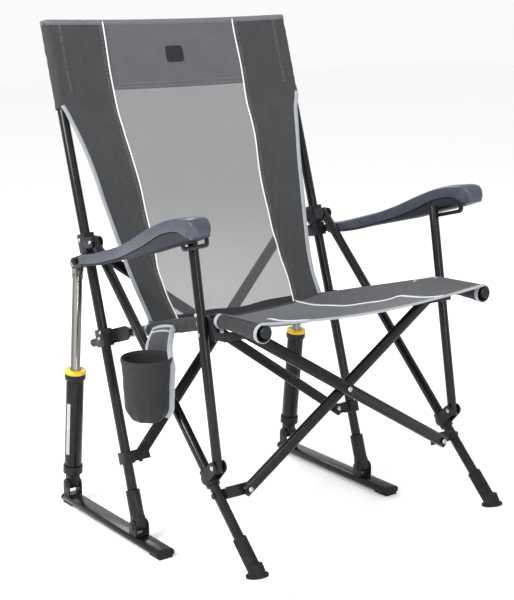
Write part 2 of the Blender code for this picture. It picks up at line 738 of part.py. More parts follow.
def make_swivel(builder, name, frame):
    hinge = leg_place(SWIVEL_ALONG_LEG)
    face = -BRACE_STEP - BRACE_T / 2 - GAP
    swivel = join(
        link(hinge, offset(hinge, 0.0, 0.006), 0.0105, -0.0160, -LEG_R - GAP),
        slab(FRONT_BRACE_LOW, FRONT_PLANE, (-0.012, 0.012), (face - PLATE_T, face),
             (FRONT_BRACE_OUT - 0.012, -0.0112)),
        across(hinge, -0.0120, LEG_R + 0.0020, PIN_R),
        across(hinge, LEG_R + GAP, LEG_R + 0.0030, 0.0060),
        brace_rivet(FRONT_BRACE_OUT, FRONT_BRACE_LOW, FRONT_PLANE, face, brace_side(name)),
    )
    builder.add(f"brace_swivel_{name}", swivel, "bracket_black", f"swivel_{name}", frame)


def brace_pair(builder, kind, out, low_place, high_place, plane):
    """The two crossed braces of the front or of the back, each with its rivet's head where they cross."""
    for name, side in SIDES:
        low = side_frame(side) @ local(out, low_place)
        high = side_frame(-side) @ local(out, high_place)
        ahead = side_frame(side).to_3x3() @ plane[1]
        along = (high - low).normalized()
        step = brace_side(name)
        shift = ahead * (BRACE_STEP * step)
        start, end = low + shift - along * BRACE_END, high + shift + along * BRACE_END
        bar = thicken(oval(start, end, BRACE_W, BRACE_T, ahead.cross(along), False, 12), 0.0012)
        bar = cut(bar, cylinder(low - ahead * 0.03, low + ahead * 0.03, PIN_HOLE_R, 12))
        middle = (low + high) / 2 + shift
        outer = middle + ahead * (step * BRACE_T / 2)
        head = cylinder(outer - ahead * (step * 0.0009), outer + ahead * (step * 0.0022), 0.0065, 12)
        builder.add(f"{kind}_brace_{name}", join(bar, head), "frame_black", f"{kind}_brace_{name}")


def sagging_sheet(left, right, start, end, sag, thick, steps=8):
    """A plain sheet between two lines, hanging lower across its middle: a section carried from start to end."""
    half = (right - left).length / 2
    outline = []
    for step in range(steps + 1):
        t = -1 + 2 * step / steps
        outline.append((t * half, -sag * (1 - t * t)))
    outline += [(x, y - thick) for x, y in reversed(outline)]
    curve = bpy.data.curves.new("section", "CURVE")
    curve.dimensions = "2D"
    curve.fill_mode = "BOTH"
    curve.extrude = (end - start).length / 2
    spline = curve.splines.new("POLY")
    spline.points.add(len(outline) - 1)
    for point, place in zip(spline.points, outline):
        point.co = (*place, 0, 1)
    spline.use_cyclic_u = True
    obj = bpy.data.objects.new("section", curve)
    bpy.context.collection.objects.link(obj)
    bm = from_evaluated(obj)
    bm.transform(between(start, end, (right - left).normalized()))
    return bm


def make_soft_parts(builder):
    frame = side_frame(-1)
    half = 0.248
    low = frame @ local(-SIDE_X, (RAIL_PIVOT[0] + 0.020, RAIL_PIVOT[1] + 0.060))
    high = frame @ local(-SIDE_X, (RAIL_TIP[0] + 0.038, RAIL_TIP[1] + 0.004))
    across_x = Vector((half, 0, 0))
    seat = sagging_sheet(low + across_x, low - across_x, low, high, -0.022, -0.008)
    builder.add("seat_fabric", seat, "fabric_mesh", "rail_right")

    low = frame @ local(-SIDE_X, (0.470, 0.030))
    high = frame @ local(-SIDE_X, (POST_LENGTH - 0.002, 0.004))
    half = 0.262
    across_x = Vector((half, 0, 0))
    back = sagging_sheet(low - across_x, low + across_x, low, high, -0.018, 0.008)
    builder.add("back_fabric", back, "fabric_grey", "post_right")

    rim = Vector(POUCH_MID)
    bm = bmesh.new()
    bmesh.ops.create_cone(bm, cap_ends=True, segments=20, radius1=1.0, radius2=1.0, depth=1.0)
    top = [face for face in bm.faces if face.normal.z > 0.9]
    bmesh.ops.delete(bm, geom=top, context="FACES_ONLY")
    for vert in bm.verts:
        radii = POUCH_RIM if vert.co.z > 0 else POUCH_BASE
        height = 0.0 if vert.co.z > 0 else -POUCH_DEEP
        vert.co = Vector((vert.co.x * radii[0], vert.co.y * radii[1], height)) + rim
    bmesh.ops.recalc_face_normals(bm, faces=bm.faces[:])
    builder.add("cup_pouch", thicken(bm, 0.0025), "pouch_fabric", "rail_right")


def make_side(builder, name, side):
    frame = side_frame(side)
    make_axes(builder, name, side)
    make_skid(builder, name, side)
    make_post(builder, name, frame)
    make_slider(builder, name, frame)
    make_leg(builder, name, frame)
    make_rail_block(builder, name, frame)
    make_rail(builder, name, frame)
    make_front_post(builder, name, frame)
    make_arm(builder, name, frame)
    make_piston(builder, name, frame)
    make_swivel(builder, name, frame)


def main():
    clear_scene()
    builder = Builder()
    for name, side in SIDES:
        make_side(builder, name, side)
    brace_pair(builder, "front", FRONT_BRACE_OUT, FRONT_BRACE_LOW, FRONT_BRACE_TOP, FRONT_PLANE)
    brace_pair(builder, "back", BACK_BRACE_OUT, BACK_BRACE_LOW, BACK_BRACE_TOP, BACK_PLANE)
    make_soft_parts(builder)


main()
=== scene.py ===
"""Camp rocking chair: the looks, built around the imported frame.

Each side of the chair is laid out as in the frame: a place is (out, along, ahead), which is outboard from the
side's plane, up the rear post from the rocking pin, and square to the post towards the front.
"""

import json
from collections import namedtuple
from math import cos, exp, pi, radians, sin

import bmesh
import bpy
from mathutils import Matrix, Vector

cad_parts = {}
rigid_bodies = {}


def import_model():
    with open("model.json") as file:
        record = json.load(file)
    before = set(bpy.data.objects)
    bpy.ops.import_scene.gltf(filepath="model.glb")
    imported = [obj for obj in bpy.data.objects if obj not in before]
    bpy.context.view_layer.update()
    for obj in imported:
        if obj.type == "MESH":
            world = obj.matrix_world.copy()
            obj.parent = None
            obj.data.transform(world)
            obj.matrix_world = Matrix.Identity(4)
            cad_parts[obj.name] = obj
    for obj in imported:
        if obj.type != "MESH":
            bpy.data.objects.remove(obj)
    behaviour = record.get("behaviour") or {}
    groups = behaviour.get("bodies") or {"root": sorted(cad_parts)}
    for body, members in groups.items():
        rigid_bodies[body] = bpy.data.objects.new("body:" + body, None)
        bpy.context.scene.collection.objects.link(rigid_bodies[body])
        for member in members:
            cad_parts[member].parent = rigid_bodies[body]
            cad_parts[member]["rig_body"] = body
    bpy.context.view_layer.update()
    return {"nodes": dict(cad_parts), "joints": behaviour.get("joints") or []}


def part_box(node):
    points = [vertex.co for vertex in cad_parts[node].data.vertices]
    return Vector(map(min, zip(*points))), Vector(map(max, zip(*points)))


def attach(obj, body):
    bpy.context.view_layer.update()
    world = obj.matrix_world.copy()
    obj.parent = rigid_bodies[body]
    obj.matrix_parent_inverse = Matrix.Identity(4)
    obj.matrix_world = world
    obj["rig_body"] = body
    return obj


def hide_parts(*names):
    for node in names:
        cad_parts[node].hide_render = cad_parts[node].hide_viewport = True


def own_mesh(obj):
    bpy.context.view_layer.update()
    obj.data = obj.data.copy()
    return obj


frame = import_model()
JOINTS = {joint["name"]: joint for joint in frame["joints"]}


def joint_place(name):
    return Vector(JOINTS[name]["pos_m"])


# ---------------------------------------------------------------- the frame's own places
UP = Vector(JOINTS["slider_rise_right"]["axis"]).normalized()
AHEAD = Vector((0, -UP.z, UP.y))
PIN = joint_place("rock")
MIDDLE_X = (PIN.x + joint_place("fold").x) / 2
SIDE_X = abs(PIN.x - MIDDLE_X)
SIDES = (("right", -1), ("left", 1))


def place(side, out, along, ahead):
    return Vector((MIDDLE_X + side * (SIDE_X + out), PIN.y, PIN.z)) + UP * along + AHEAD * ahead


def middle_place(x, along, ahead):
    """A place x to the left of the chair's middle plane."""
    return Vector((MIDDLE_X + x, PIN.y, PIN.z)) + UP * along + AHEAD * ahead


def in_side(point):
    """(along, ahead) of a world point."""
    rise = Vector((0, point.y - PIN.y, point.z - PIN.z))
    return rise.dot(UP), rise.dot(AHEAD)


POST_TOP = in_side(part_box("rear_post_right")[1])[0] - 0.0035
RAIL_PIVOT = in_side(joint_place("rail_fold_right"))
RAIL_HINGE = in_side(joint_place("front_post_fold_right"))
RAIL_TIP = (0.3547, 0.5621)
LEG_TOP = in_side(joint_place("leg_fold_right"))
ARM_PIVOT = in_side(joint_place("arm_fold_right"))
# the rails lie this far out from the posts' planes
RAIL_OUT = -0.030
RAIL_X = SIDE_X + RAIL_OUT
RAIL_R = 0.011

# ---------------------------------------------------------------- materials


class Nodes:
    """A material's node tree, with the few kinds of node that these finishes use."""

    def __init__(self, name, colour, roughness, metallic=0.0):
        self.material = bpy.data.materials.new(name)
        self.material.use_nodes = True
        self.tree = self.material.node_tree
        self.shader = self.tree.nodes["Principled BSDF"]
        self.shader.inputs["Base Color"].default_value = (*colour, 1)
        self.shader.inputs["Roughness"].default_value = roughness
        self.shader.inputs["Metallic"].default_value = metallic
        self.bump_from = None

    def node(self, kind, **settings):
        made = self.tree.nodes.new("ShaderNode" + kind)
        for key, value in settings.items():
            if hasattr(made, key):
                setattr(made, key, value)
            else:
                made.inputs[key.replace("_", " ")].default_value = value
        return made

    def link(self, source, target):
        self.tree.links.new(source, target)

    def coordinates(self, kind, scale=(1, 1, 1)):
        mapping = self.node("Mapping")
        mapping.inputs["Scale"].default_value = scale
        self.link(self.node("TexCoord").outputs[kind], mapping.inputs["Vector"])
        return mapping.outputs["Vector"]

    def noise(self, scale, detail=3.0, stretch=(1, 1, 1)):
        noise = self.node("TexNoise", Scale=scale, Detail=detail)
        self.link(self.coordinates("Object", stretch), noise.inputs["Vector"])
        return noise.outputs["Fac"]

    def spread(self, value, low, high, to_low=0.0, to_high=1.0):
        spread = self.node("MapRange")
        for name, number in (("From Min", low), ("From Max", high), ("To Min", to_low), ("To Max", to_high)):
            spread.inputs[name].default_value = number
        self.link(value, spread.inputs["Value"])
        return spread.outputs["Result"]

    def math(self, operation, first, second=0.0):
        node = self.node("Math", operation=operation)
        for socket, value in zip(node.inputs, (first, second)):
            if isinstance(value, (int, float)):
                socket.default_value = value
            else:
                self.link(value, socket)
        return node.outputs[0]

    def mix(self, factor, dark, light):
        mix = self.node("Mix", data_type="RGBA")
        self.link(factor, mix.inputs["Factor"])
        for socket, colour in ((mix.inputs["A"], dark), (mix.inputs["B"], light)):
            if isinstance(colour, tuple):
                socket.default_value = (*colour, 1)
            else:
                self.link(colour, socket)
        return mix.outputs["Result"]

    def colour(self, output):
        self.link(output, self.shader.inputs["Base Color"])

    def roughness(self, output):
        self.link(output, self.shader.inputs["Roughness"])

    def bump(self, height, distance, strength=1.0):
        bump = self.node("Bump", Strength=strength, Distance=distance)
        self.link(height, bump.inputs["Height"])
        if self.bump_from:
            self.link(self.bump_from, bump.inputs["Normal"])
        self.bump_from = bump.outputs["Normal"]
        self.link(self.bump_from, self.shader.inputs["Normal"])

    def sine(self, vector, axis, per_metre):
        """A sine across one axis of a metric coordinate, from 0 to 1."""
        split = self.node("SeparateXYZ")
        self.link(vector, split.inputs["Vector"])
        turned = self.math("MULTIPLY", split.outputs[axis], per_metre * 2 * pi)
        return self.math("ADD", self.math("MULTIPLY", self.math("SINE", turned), 0.5), 0.5)


def painted(name, colour, roughness, grain=0.00004, speckle=1400.0, specular=0.5):
    """Powder coat or satin moulding: a fine grain, softly uneven gloss and slightly paler worn patches."""
    nodes = Nodes(name, colour, roughness)
    broad = nodes.noise(14.0, 4.0)
    nodes.roughness(nodes.spread(broad, 0.3, 0.7, roughness - 0.06, roughness + 0.08))
    lighter = tuple(min(1, c * 1.5 + 0.004) for c in colour)
    nodes.colour(nodes.mix(nodes.spread(nodes.noise(60.0, 6.0), 0.45, 0.85), colour, lighter))
    nodes.bump(nodes.noise(speckle, 2.0), grain, 0.6)
    nodes.shader.inputs["Specular IOR Level"].default_value = specular
    return nodes.material


def metal(name, colour, roughness, brush=(1, 1, 1), grain=0.00001):
    nodes = Nodes(name, colour, roughness, 1.0)
    streaks = nodes.noise(300.0, 3.0, stretch=brush)
    nodes.roughness(nodes.spread(streaks, 0.3, 0.7, roughness * 0.7, roughness * 1.5))
    nodes.bump(streaks, grain, 0.4)
    return nodes.material


def woven(name, colour, threads=1100.0, sheen=0.25, fade=1.25, relief=0.00018, rib=1.0, crumple=0.0022):
    """Plain-weave polyester: crossing threads in relief and in colour, over a soft broad unevenness."""
    nodes = Nodes(name, colour, 0.88)
    metric = nodes.coordinates("UV")
    warp = nodes.sine(metric, "X", threads)
    weft = nodes.sine(metric, "Y", threads * rib)
    weave = nodes.math("MULTIPLY", warp, weft)
    uneven = nodes.noise(25.0, 5.0)
    light = tuple(min(1, c * fade) for c in colour)
    dark = tuple(c * 0.72 for c in colour)
    shade = nodes.math("ADD", nodes.math("MULTIPLY", weave, 0.7), nodes.math("MULTIPLY", uneven, 0.5))
    nodes.colour(nodes.mix(nodes.spread(shade, 0.1, 0.95), dark, light))
    nodes.bump(weave, relief, 0.7)
    nodes.bump(uneven, crumple, 0.3)
    nodes.shader.inputs["Sheen Weight"].default_value = sheen
    nodes.shader.inputs["Sheen Roughness"].default_value = 0.5
    nodes.shader.inputs["Specular IOR Level"].default_value = 0.3
    return nodes.material


def open_mesh(name, colour, dark, cells=520.0, see_through=0.0, sheen=0.15):
    """Knitted sling mesh: rows of round holes with paler threads between them."""
    nodes = Nodes(name, colour, 0.8)
    metric = nodes.coordinates("UV")
    across = nodes.sine(metric, "X", cells)
    down = nodes.sine(metric, "Y", cells)
    holes = nodes.math("MULTIPLY", across, down)
    threads = nodes.math("SUBTRACT", 1.0, nodes.spread(holes, 0.35, 0.8))
    uneven = nodes.noise(18.0, 4.0)
    shade = nodes.math("MULTIPLY", threads, nodes.spread(uneven, 0.2, 0.8, 0.8, 1.0))
    nodes.colour(nodes.mix(shade, dark, colour))
    nodes.bump(threads, 0.0004, 0.6)
    nodes.bump(uneven, 0.002, 0.2)
    nodes.shader.inputs["Sheen Weight"].default_value = sheen
    nodes.shader.inputs["Specular IOR Level"].default_value = 0.25
    nodes.shader.inputs["Alpha"].default_value = 1 - see_through
    return nodes.material


MATERIALS = {
    "frame": painted("powder_coat_black", (0.0050, 0.0052, 0.0064), 0.22, specular=0.24),
    "bracket": painted("satin_black_moulding", (0.0085, 0.0088, 0.0108), 0.40, 0.00008, 900.0, 0.22),
    "arm": painted("slate_moulding", (0.036, 0.042, 0.058), 0.36, 0.00012, 700.0, 0.42),
    # the arm's own moulding made darker: painted shade on the web under the groove
    "arm_painted_shade": painted("slate_moulding_painted_shade", (0.0105, 0.0130, 0.0185), 0.5, 0.00016, 600.0, 0.3),
    "rubber": painted("matte_rubber", (0.008, 0.008, 0.009), 0.72, 0.0001, 800.0, 0.2),
    "yellow": painted("yellow_moulding", (0.60, 0.42, 0.022), 0.38, 0.00005, 900.0, 0.35),
    "chrome": metal("chromed_rod", (0.24, 0.233, 0.214), 0.15, (1, 1, 0.06)),
    "zinc": metal("zinc_rivet", (0.42, 0.42, 0.43), 0.32),
    "spring": metal("spring_wire", (0.40, 0.40, 0.41), 0.4),
    "label": painted("pale_label", (0.36, 0.37, 0.38), 0.45),
    "panel": woven("dark_grey_polyester", (0.041, 0.042, 0.045), sheen=0.12),
    "head": woven("mid_grey_polyester", (0.092, 0.096, 0.102), sheen=0.14),
    "strip": woven("charcoal_hem", (0.018, 0.019, 0.024), sheen=0.1),
    "mesh": open_mesh("light_grey_mesh", (0.128, 0.132, 0.138), (0.038, 0.039, 0.042), see_through=0.50),
    "seat_mesh": open_mesh("seat_mesh", (0.150, 0.157, 0.168), (0.052, 0.054, 0.060), see_through=0.06,
                           sheen=0.03),
    "seat_side": woven("seat_side_polyester", (0.064, 0.068, 0.074), sheen=0.06),
    "sleeve": woven("dark_sleeve_polyester", (0.022, 0.0225, 0.0245), sheen=0.08),
    "pouch": woven("charcoal_polyester", (0.0140, 0.0140, 0.0155), sheen=0.06, fade=1.8, crumple=0.009),
    "binding": woven("grey_binding", (0.31, 0.33, 0.355), 700.0, rib=0.4, relief=0.0003),
    "top_binding": woven("dark_grey_binding", (0.130, 0.135, 0.148), 700.0, rib=0.4, relief=0.0003),
    "piping": woven("white_piping", (0.80, 0.80, 0.80), 900.0, fade=1.1),
    "stitch": woven("grey_thread", (0.34, 0.35, 0.36), 1500.0),
    "badge": woven("badge_tab", (0.010, 0.010, 0.012), 1300.0, sheen=0.1, fade=2.4),
}

# ---------------------------------------------------------------- mesh helpers


def new_object(name, bm, materials, smooth=35):
    mesh = bpy.data.meshes.new(name)
    bm.to_mesh(mesh)
    bm.free()
    mesh.shade_smooth()
    if smooth < 180:
        mesh.set_sharp_from_angle(angle=radians(smooth))
    for key in materials if isinstance(materials, (tuple, list)) else (materials,):
        mesh.materials.append(MATERIALS[key])
    obj = bpy.data.objects.new(name, mesh)
    bpy.context.scene.collection.objects.link(obj)
    return obj


def apply_modifiers(obj):
    graph = bpy.context.evaluated_depsgraph_get()
    mesh = bpy.data.meshes.new_from_object(obj.evaluated_get(graph))
    obj.modifiers.clear()
    obj.data = mesh
    return obj


def thicken(obj, thickness, offset):
    """A bare surface given the thickness of its cloth."""
    solid = obj.modifiers.new("Cloth", "SOLIDIFY")
    solid.thickness = thickness
    solid.offset = offset
    return apply_modifiers(obj)


def finish_piece(obj, body, slot, *nodes):
    """The piece rides on its body and stands for its CAD nodes; its slot is not used."""
    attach(obj, body)
    if nodes:
        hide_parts(*nodes)
    return obj


def frame_along(points, normals):
    """For each point of a path: the way sideways and the way out of the cloth."""
    frames = []
    for index, point in enumerate(points):
        ahead = points[min(index + 1, len(points) - 1)] - points[max(index - 1, 0)]
        tangent = ahead.normalized()
        normal = (normals[index] - tangent * normals[index].dot(tangent)).normalized()
        frames.append((tangent.cross(normal), normal))
    return frames


def run_of(points):
    """How far along its path each point lies."""
    run = [0.0]
    for before, after in zip(points, points[1:]):
        run.append(run[-1] + (after - before).length)
    return run


def skin(bm, rings):
    """Faces between each ring of corners and the next."""
    for one, two in zip(rings, rings[1:]):
        for i in range(len(one)):
            j = (i + 1) % len(one)
            bm.faces.new((one[i], one[j], two[j], two[i]))


def wrap(bm, uv, rings, side_width, run):
    """Faces between rings, with UVs in metres round the rings and along the run."""
    sides = len(rings[0])
    for index in range(len(rings) - 1):
        for step in range(sides):
            after = (step + 1) % sides
            face = bm.faces.new((rings[index][step], rings[index][after],
                                 rings[index + 1][after], rings[index + 1][step]))
            corners = ((step, index), (step + 1, index), (step + 1, index + 1), (step, index + 1))
            for loop, (a, b) in zip(face.loops, corners):
                loop[uv].uv = (a * side_width, run[b])


def sweep(points, normals, width, height):
    """A strip of flattened-round section carried along a path, closed at both ends."""
    bm = bmesh.new()
    uv = bm.loops.layers.uv.new("metric")
    sides = 8
    angles = [2 * pi * (step + 0.5) / sides for step in range(sides)]
    rings = [[bm.verts.new(point + sideways * (cos(a) * width / 2) + out * (sin(a) * height / 2))
              for a in angles] for point, (sideways, out) in zip(points, frame_along(points, normals))]
    wrap(bm, uv, rings, width / sides * 2, run_of(points))
    bm.faces.new(list(reversed(rings[0])))
    bm.faces.new(rings[-1])
    bmesh.ops.recalc_face_normals(bm, faces=bm.faces[:])
    return bm


def merge(target, other):
    mesh = bpy.data.meshes.new("merged")
    other.to_mesh(mesh)
    other.free()
    target.from_mesh(mesh)
    bpy.data.meshes.remove(mesh)
    return target


def smooth_path(points, steps=8):
    """Points along a Catmull-Rom curve through the given ones."""
    padded = [points[0] * 2 - points[1], *points, points[-1] * 2 - points[-2]]
    path = []
    for index in range(1, len(padded) - 2):
        a, b, c, d = padded[index - 1:index + 3]
        for step in range(steps):
            t = step / steps
            path.append(0.5 * ((2 * b) + (c - a) * t + (2 * a - 5 * b + 4 * c - d) * t ** 2
                               + (3 * b - a - 3 * c + d) * t ** 3))
    return [*path, points[-1]]


def ease(t):
    t = max(0.0, min(1.0, t))
    return t * t * (3 - 2 * t)


def lerp(a, b, t):
    return a + (b - a) * t


# ---------------------------------------------------------------- hardware: the CAD pieces with worked edges


def refine(node, key, slot, edge=0.0007):
    """A copy of a CAD piece with its flat facets joined and its edges rounded."""
    source = frame["nodes"][node]
    bm = bmesh.new()
    bm.from_mesh(source.data)
    bmesh.ops.remove_doubles(bm, verts=bm.verts[:], dist=1e-5)
    bmesh.ops.dissolve_limit(bm, angle_limit=radians(0.6), verts=bm.verts[:], edges=bm.edges[:])
    obj = new_object(node + "_detail", bm, key, 40)
    bevel = obj.modifiers.new("Edges", "BEVEL")
    bevel.width = edge
    bevel.segments = 2
    bevel.limit_method = "ANGLE"
    bevel.angle_limit = radians(42)
    bevel.harden_normals = False
    apply_modifiers(obj)
    obj.data.shade_smooth()
    obj.data.set_sharp_from_angle(angle=radians(40))
    return finish_piece(obj, source["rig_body"], slot, node)


def turned(start, end, profile, sides=40):
    """A solid of revolution about start to end, from (radius, distance) points."""
    bm = bmesh.new()
    turn = (end - start).to_track_quat("Z", "Y").to_matrix().to_4x4()
    move = Matrix.Translation(start) @ turn
    rings = []
    for radius, z in profile:
        if radius < 1e-6:
            rings.append([bm.verts.new(move @ Vector((0, 0, z)))])
        else:
            angles = [2 * pi * i / sides for i in range(sides)]
            rings.append([bm.verts.new(move @ Vector((radius * cos(a), radius * sin(a), z))) for a in angles])
    for one, two in zip(rings, rings[1:]):
        for i in range(sides):
            j = (i + 1) % sides
            corners = [one[i % len(one)], one[j % len(one)], two[j % len(two)], two[i % len(two)]]
            unique = list(dict.fromkeys(corners))
            if len(unique) > 2:
                bm.faces.new(unique)
    bmesh.ops.recalc_face_normals(bm, faces=bm.faces[:])
    return bm


def rivet_head(centre, direction, radius=0.0055, height=0.0022):
    way = direction.normalized()
    return turned(centre, centre + way * 0.01, [
        (0.0, -0.0004), (radius, -0.0004), (radius, height * 0.35), (radius * 0.82, height * 0.8),
        (radius * 0.45, height), (radius * 0.3, height * 0.72), (0.0, height * 0.7)], 20)


BRACKETS = ("post_sleeve", "arm_bracket", "back_brace_bracket", "upper_slider", "leg_hub", "rail_block",
            "seat_hub", "brace_swivel", "arm_loop", "skid_front_bracket", "skid_rear_bracket", "piston_fork")


def make_hardware():
    for side, _ in SIDES:
        for node in BRACKETS:
            refine(f"{node}_{side}", "bracket", "bracket_black")
        for node in ("rear_post", "front_leg", "front_post", "seat_rail", "skid", "front_brace", "back_brace",
                     "piston_cylinder"):
            refine(f"{node}_{side}", "frame", "frame_black", 0.0005)
        for node in ("skid_front_cap", "skid_rear_cap", "foot"):
            refine(f"{node}_{side}", "rubber", "foot_rubber", 0.0012)
        make_ring(side)
        refine(f"piston_rod_{side}", "chrome", "chrome", 0.0006)
        spring = frame["nodes"][f"piston_spring_{side}"]
        spring.data.materials.clear()
        spring.data.materials.append(MATERIALS["spring"])


# from the wiper ring's foot to its middle
RING_HALF = 0.00875
# profiles about the cylinder's axis: (radius, distance up from the ring's foot)
RING_PROFILE = ((0.0126, 0.0176), (0.0126, 0.0088), (0.0236, 0.0088), (0.0242, 0.0100), (0.0242, 0.0148),
                (0.0228, 0.0166), (0.0190, 0.0172), (0.0182, 0.0160), (0.0150, 0.0158), (0.0144, 0.0172),
                (0.0126, 0.0176))
COLLAR_PROFILE = ((0.0206, -0.0060), (0.0224, -0.0060), (0.0238, -0.0040), (0.0240, 0.0070), (0.0232, 0.0086),
                  (0.0206, 0.0086), (0.0206, -0.0060))


def make_ring(name):
    """The piston's yellow wiper ring in its black collar, and the right cylinder's stripe."""
    low, high = (Vector(corner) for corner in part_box(f"piston_ring_{name}"))
    swing, slide = joint_place(f"piston_swing_{name}"), joint_place(f"piston_slide_{name}")
    way = (slide - swing).normalized()
    base = swing + way * (((low + high) / 2 - swing).dot(way) - RING_HALF)
    ring = turned(base, base + way, RING_PROFILE)
    finish_piece(new_object(f"wiper_ring_{name}", ring, "yellow"), f"cylinder_{name}", "ring_yellow",
                 f"piston_ring_{name}")
    collar = turned(base, base + way, COLLAR_PROFILE)
    finish_piece(new_object(f"ring_collar_{name}", collar, "bracket"), f"cylinder_{name}", "bracket_black")
    if name == "right":
        make_stripe(swing, way)


# the stripe round the cylinder: its turn in degrees, its reach up from the fork's pin, and its two faces
STRIPE_TURN = (8, 34)
STRIPE_REACH = (0.080, 0.205)
STRIPE_FACE, STRIPE_BACK = 0.0206, 0.0201


def make_stripe(swing, way):
    """A plain pale stripe wrapped part of the way round the cylinder."""
    bm = bmesh.new()
    out = Vector((-1, 0, 0))
    front = way.cross(out)
    rows, columns = 14, 6
    grid = [[(radians(lerp(*STRIPE_TURN, column / columns)), lerp(*STRIPE_REACH, row / rows))
             for column in range(columns + 1)] for row in range(rows + 1)]
    sheets = []
    for lift in (STRIPE_FACE, STRIPE_BACK):
        sheets.append([[bm.verts.new(swing + way * tall + (out * cos(turn) + front * sin(turn)) * lift)
                        for turn, tall in line] for line in grid])
    over, under = sheets
    for verts, order in ((over, 1), (under, -1)):
        for i in range(rows):
            for j in range(columns):
                face = (verts[i][j], verts[i][j + 1], verts[i + 1][j + 1], verts[i + 1][j])
                bm.faces.new(face[::order])
    border = [(0, j) for j in range(columns)] + [(i, columns) for i in range(rows)]
    border += [(rows, j) for j in range(columns, 0, -1)] + [(i, 0) for i in range(rows, 0, -1)]
    for (i, j), (k, m) in zip(border, border[1:] + border[:1]):
        bm.faces.new((over[i][j], over[k][m], under[k][m], under[i][j]))
    bmesh.ops.recalc_face_normals(bm, faces=bm.faces[:])
    finish_piece(new_object("cylinder_stripe_right", bm, "label"), "cylinder_right", "frame_black")


# bolt and rivet heads: body, piece, finish, radius, and places (out, up the post, ahead)
HEADS = (
    ("post", "arm_bolt", "bracket", 0.0060, ((0.0418, *ARM_PIVOT),)),
    ("post", "rod_bolt", "zinc", 0.0062, ((0.0125, 0.5843, -0.0573), (-0.0127, 0.5843, -0.0573))),
    ("post", "arm_bracket_rivets", "zinc", 0.0034, ((0.0126, 0.5900, 0.0100), (0.0126, 0.5745, -0.0105))),
    ("slider", "slider_rivets", "zinc", 0.0048, ((0.0126, 0.6280, -0.0080), (0.0132, *LEG_TOP))),
    ("front_post", "front_post_rivets", "zinc", 0.0042, ((0.0100, 0.4130, 0.4000), (0.0100, 0.3740, 0.3968))),
    ("leg_hub", "hub_rivets", "zinc", 0.0052, ((0.0140, 0.1152, 0.3607), (-0.0140, 0.1152, 0.3607))),
    ("rail_block", "rail_block_rivets", "zinc", 0.0040, ((0.0126, 0.4111, 0.0), (0.0126, 0.4230, 0.0085))),
)
# the profile of a rail's end cap, and how far it goes into the tube
CAP_PROFILE = ((0.0, 0.0), (0.0085, 0.0), (0.0090, 0.0022), (0.0112, 0.0023), (0.0112, 0.0050),
               (0.0095, 0.0075), (0.0, 0.0082))
CAP_INSIDE = 0.002


def make_rail_cap(name, side):
    tip = Vector(RAIL_TIP)
    way = (tip - Vector(RAIL_HINGE)).normalized()
    start = place(side, RAIL_OUT, tip.x - way.x * CAP_INSIDE, tip.y - way.y * CAP_INSIDE)
    end = place(side, RAIL_OUT, tip.x + way.x, tip.y + way.y)
    cap = turned(start, end, CAP_PROFILE, 28)
    finish_piece(new_object(f"rail_front_cap_{name}", cap, "bracket"), f"rail_{name}", "bracket_black")


def make_rivets():
    """Bolt heads, rivets and end caps that the frame's pieces carry."""
    for name, side in SIDES:
        for body, label, key, radius, places in HEADS:
            bm = bmesh.new()
            for out, along, ahead in places:
                way = Vector((side * (1 if out > 0 else -1), 0, 0))
                merge(bm, rivet_head(place(side, out, along, ahead), way, radius))
            finish_piece(new_object(f"{label}_{name}", bm, key), f"{body}_{name}", "chrome")
        make_rail_cap(name, side)


BRACE_STEP = 0.0068
# from a brace's middle plane to the top of its pin's head
BRACE_FACE = 0.0087
# the upper pins of the crossed braces: (out from the post's plane, up the post, ahead of it)
BRACE_HEADS = {"front_brace": (-0.060, 0.3697, 0.4363), "back_brace": (-0.041, 0.6110, -0.0600)}


def make_brace_rivets():
    """Rivets at both ends of each crossed brace, and the bolt where a pair crosses."""
    for pair in ("front_brace", "back_brace"):
        foremost = min((name for name, _ in SIDES), key=lambda name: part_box(f"{pair}_{name}")[0][1])
        facing = Vector(JOINTS[f"{pair}_turn_right"]["axis"]).normalized()
        facing = facing if facing.y < 0 else -facing
        for name, side in SIDES:
            foot = joint_place(f"{pair}_turn_{name}")
            head = place(-side, *BRACE_HEADS[pair])
            step = BRACE_STEP if name == foremost else -BRACE_STEP
            bm = rivet_head(foot + facing * (step + BRACE_FACE), facing, 0.0054)
            merge(bm, rivet_head(head + facing * (step + BRACE_FACE), facing, 0.0054))
            crossing = foot.lerp(head, (MIDDLE_X - foot.x) / (head.x - foot.x))
            out = facing if name == foremost else -facing
            merge(bm, rivet_head(crossing + out * (BRACE_STEP + BRACE_FACE - 0.0004), out, 0.0056))
            finish_piece(new_object(f"{pair}_rivets_{name}", bm, "zinc"), f"{pair}_{name}", "chrome")


# ---------------------------------------------------------------- cloth

BACK_TOP = POST_TOP + 0.002
POCKET_END = 0.915
BACK_BOTTOM = 0.421
HEAD_LOW = 0.952
STRIP_TOP = 0.441
SLEEVE_R = 0.0135
CLOTH_T = 0.0016
# a piping's lift off its cloth, width, height and finish
PIPING = (0.0016, 0.0034, 0.0032, "piping")
# how far across the head the rows of stitches beside the posts run
POCKET_SEAM = 0.285

# a cloth's surface, the way its shown face looks, its body and slot, and half the width that folds
Cloth = namedtuple("Cloth", "surface facing body slot half")

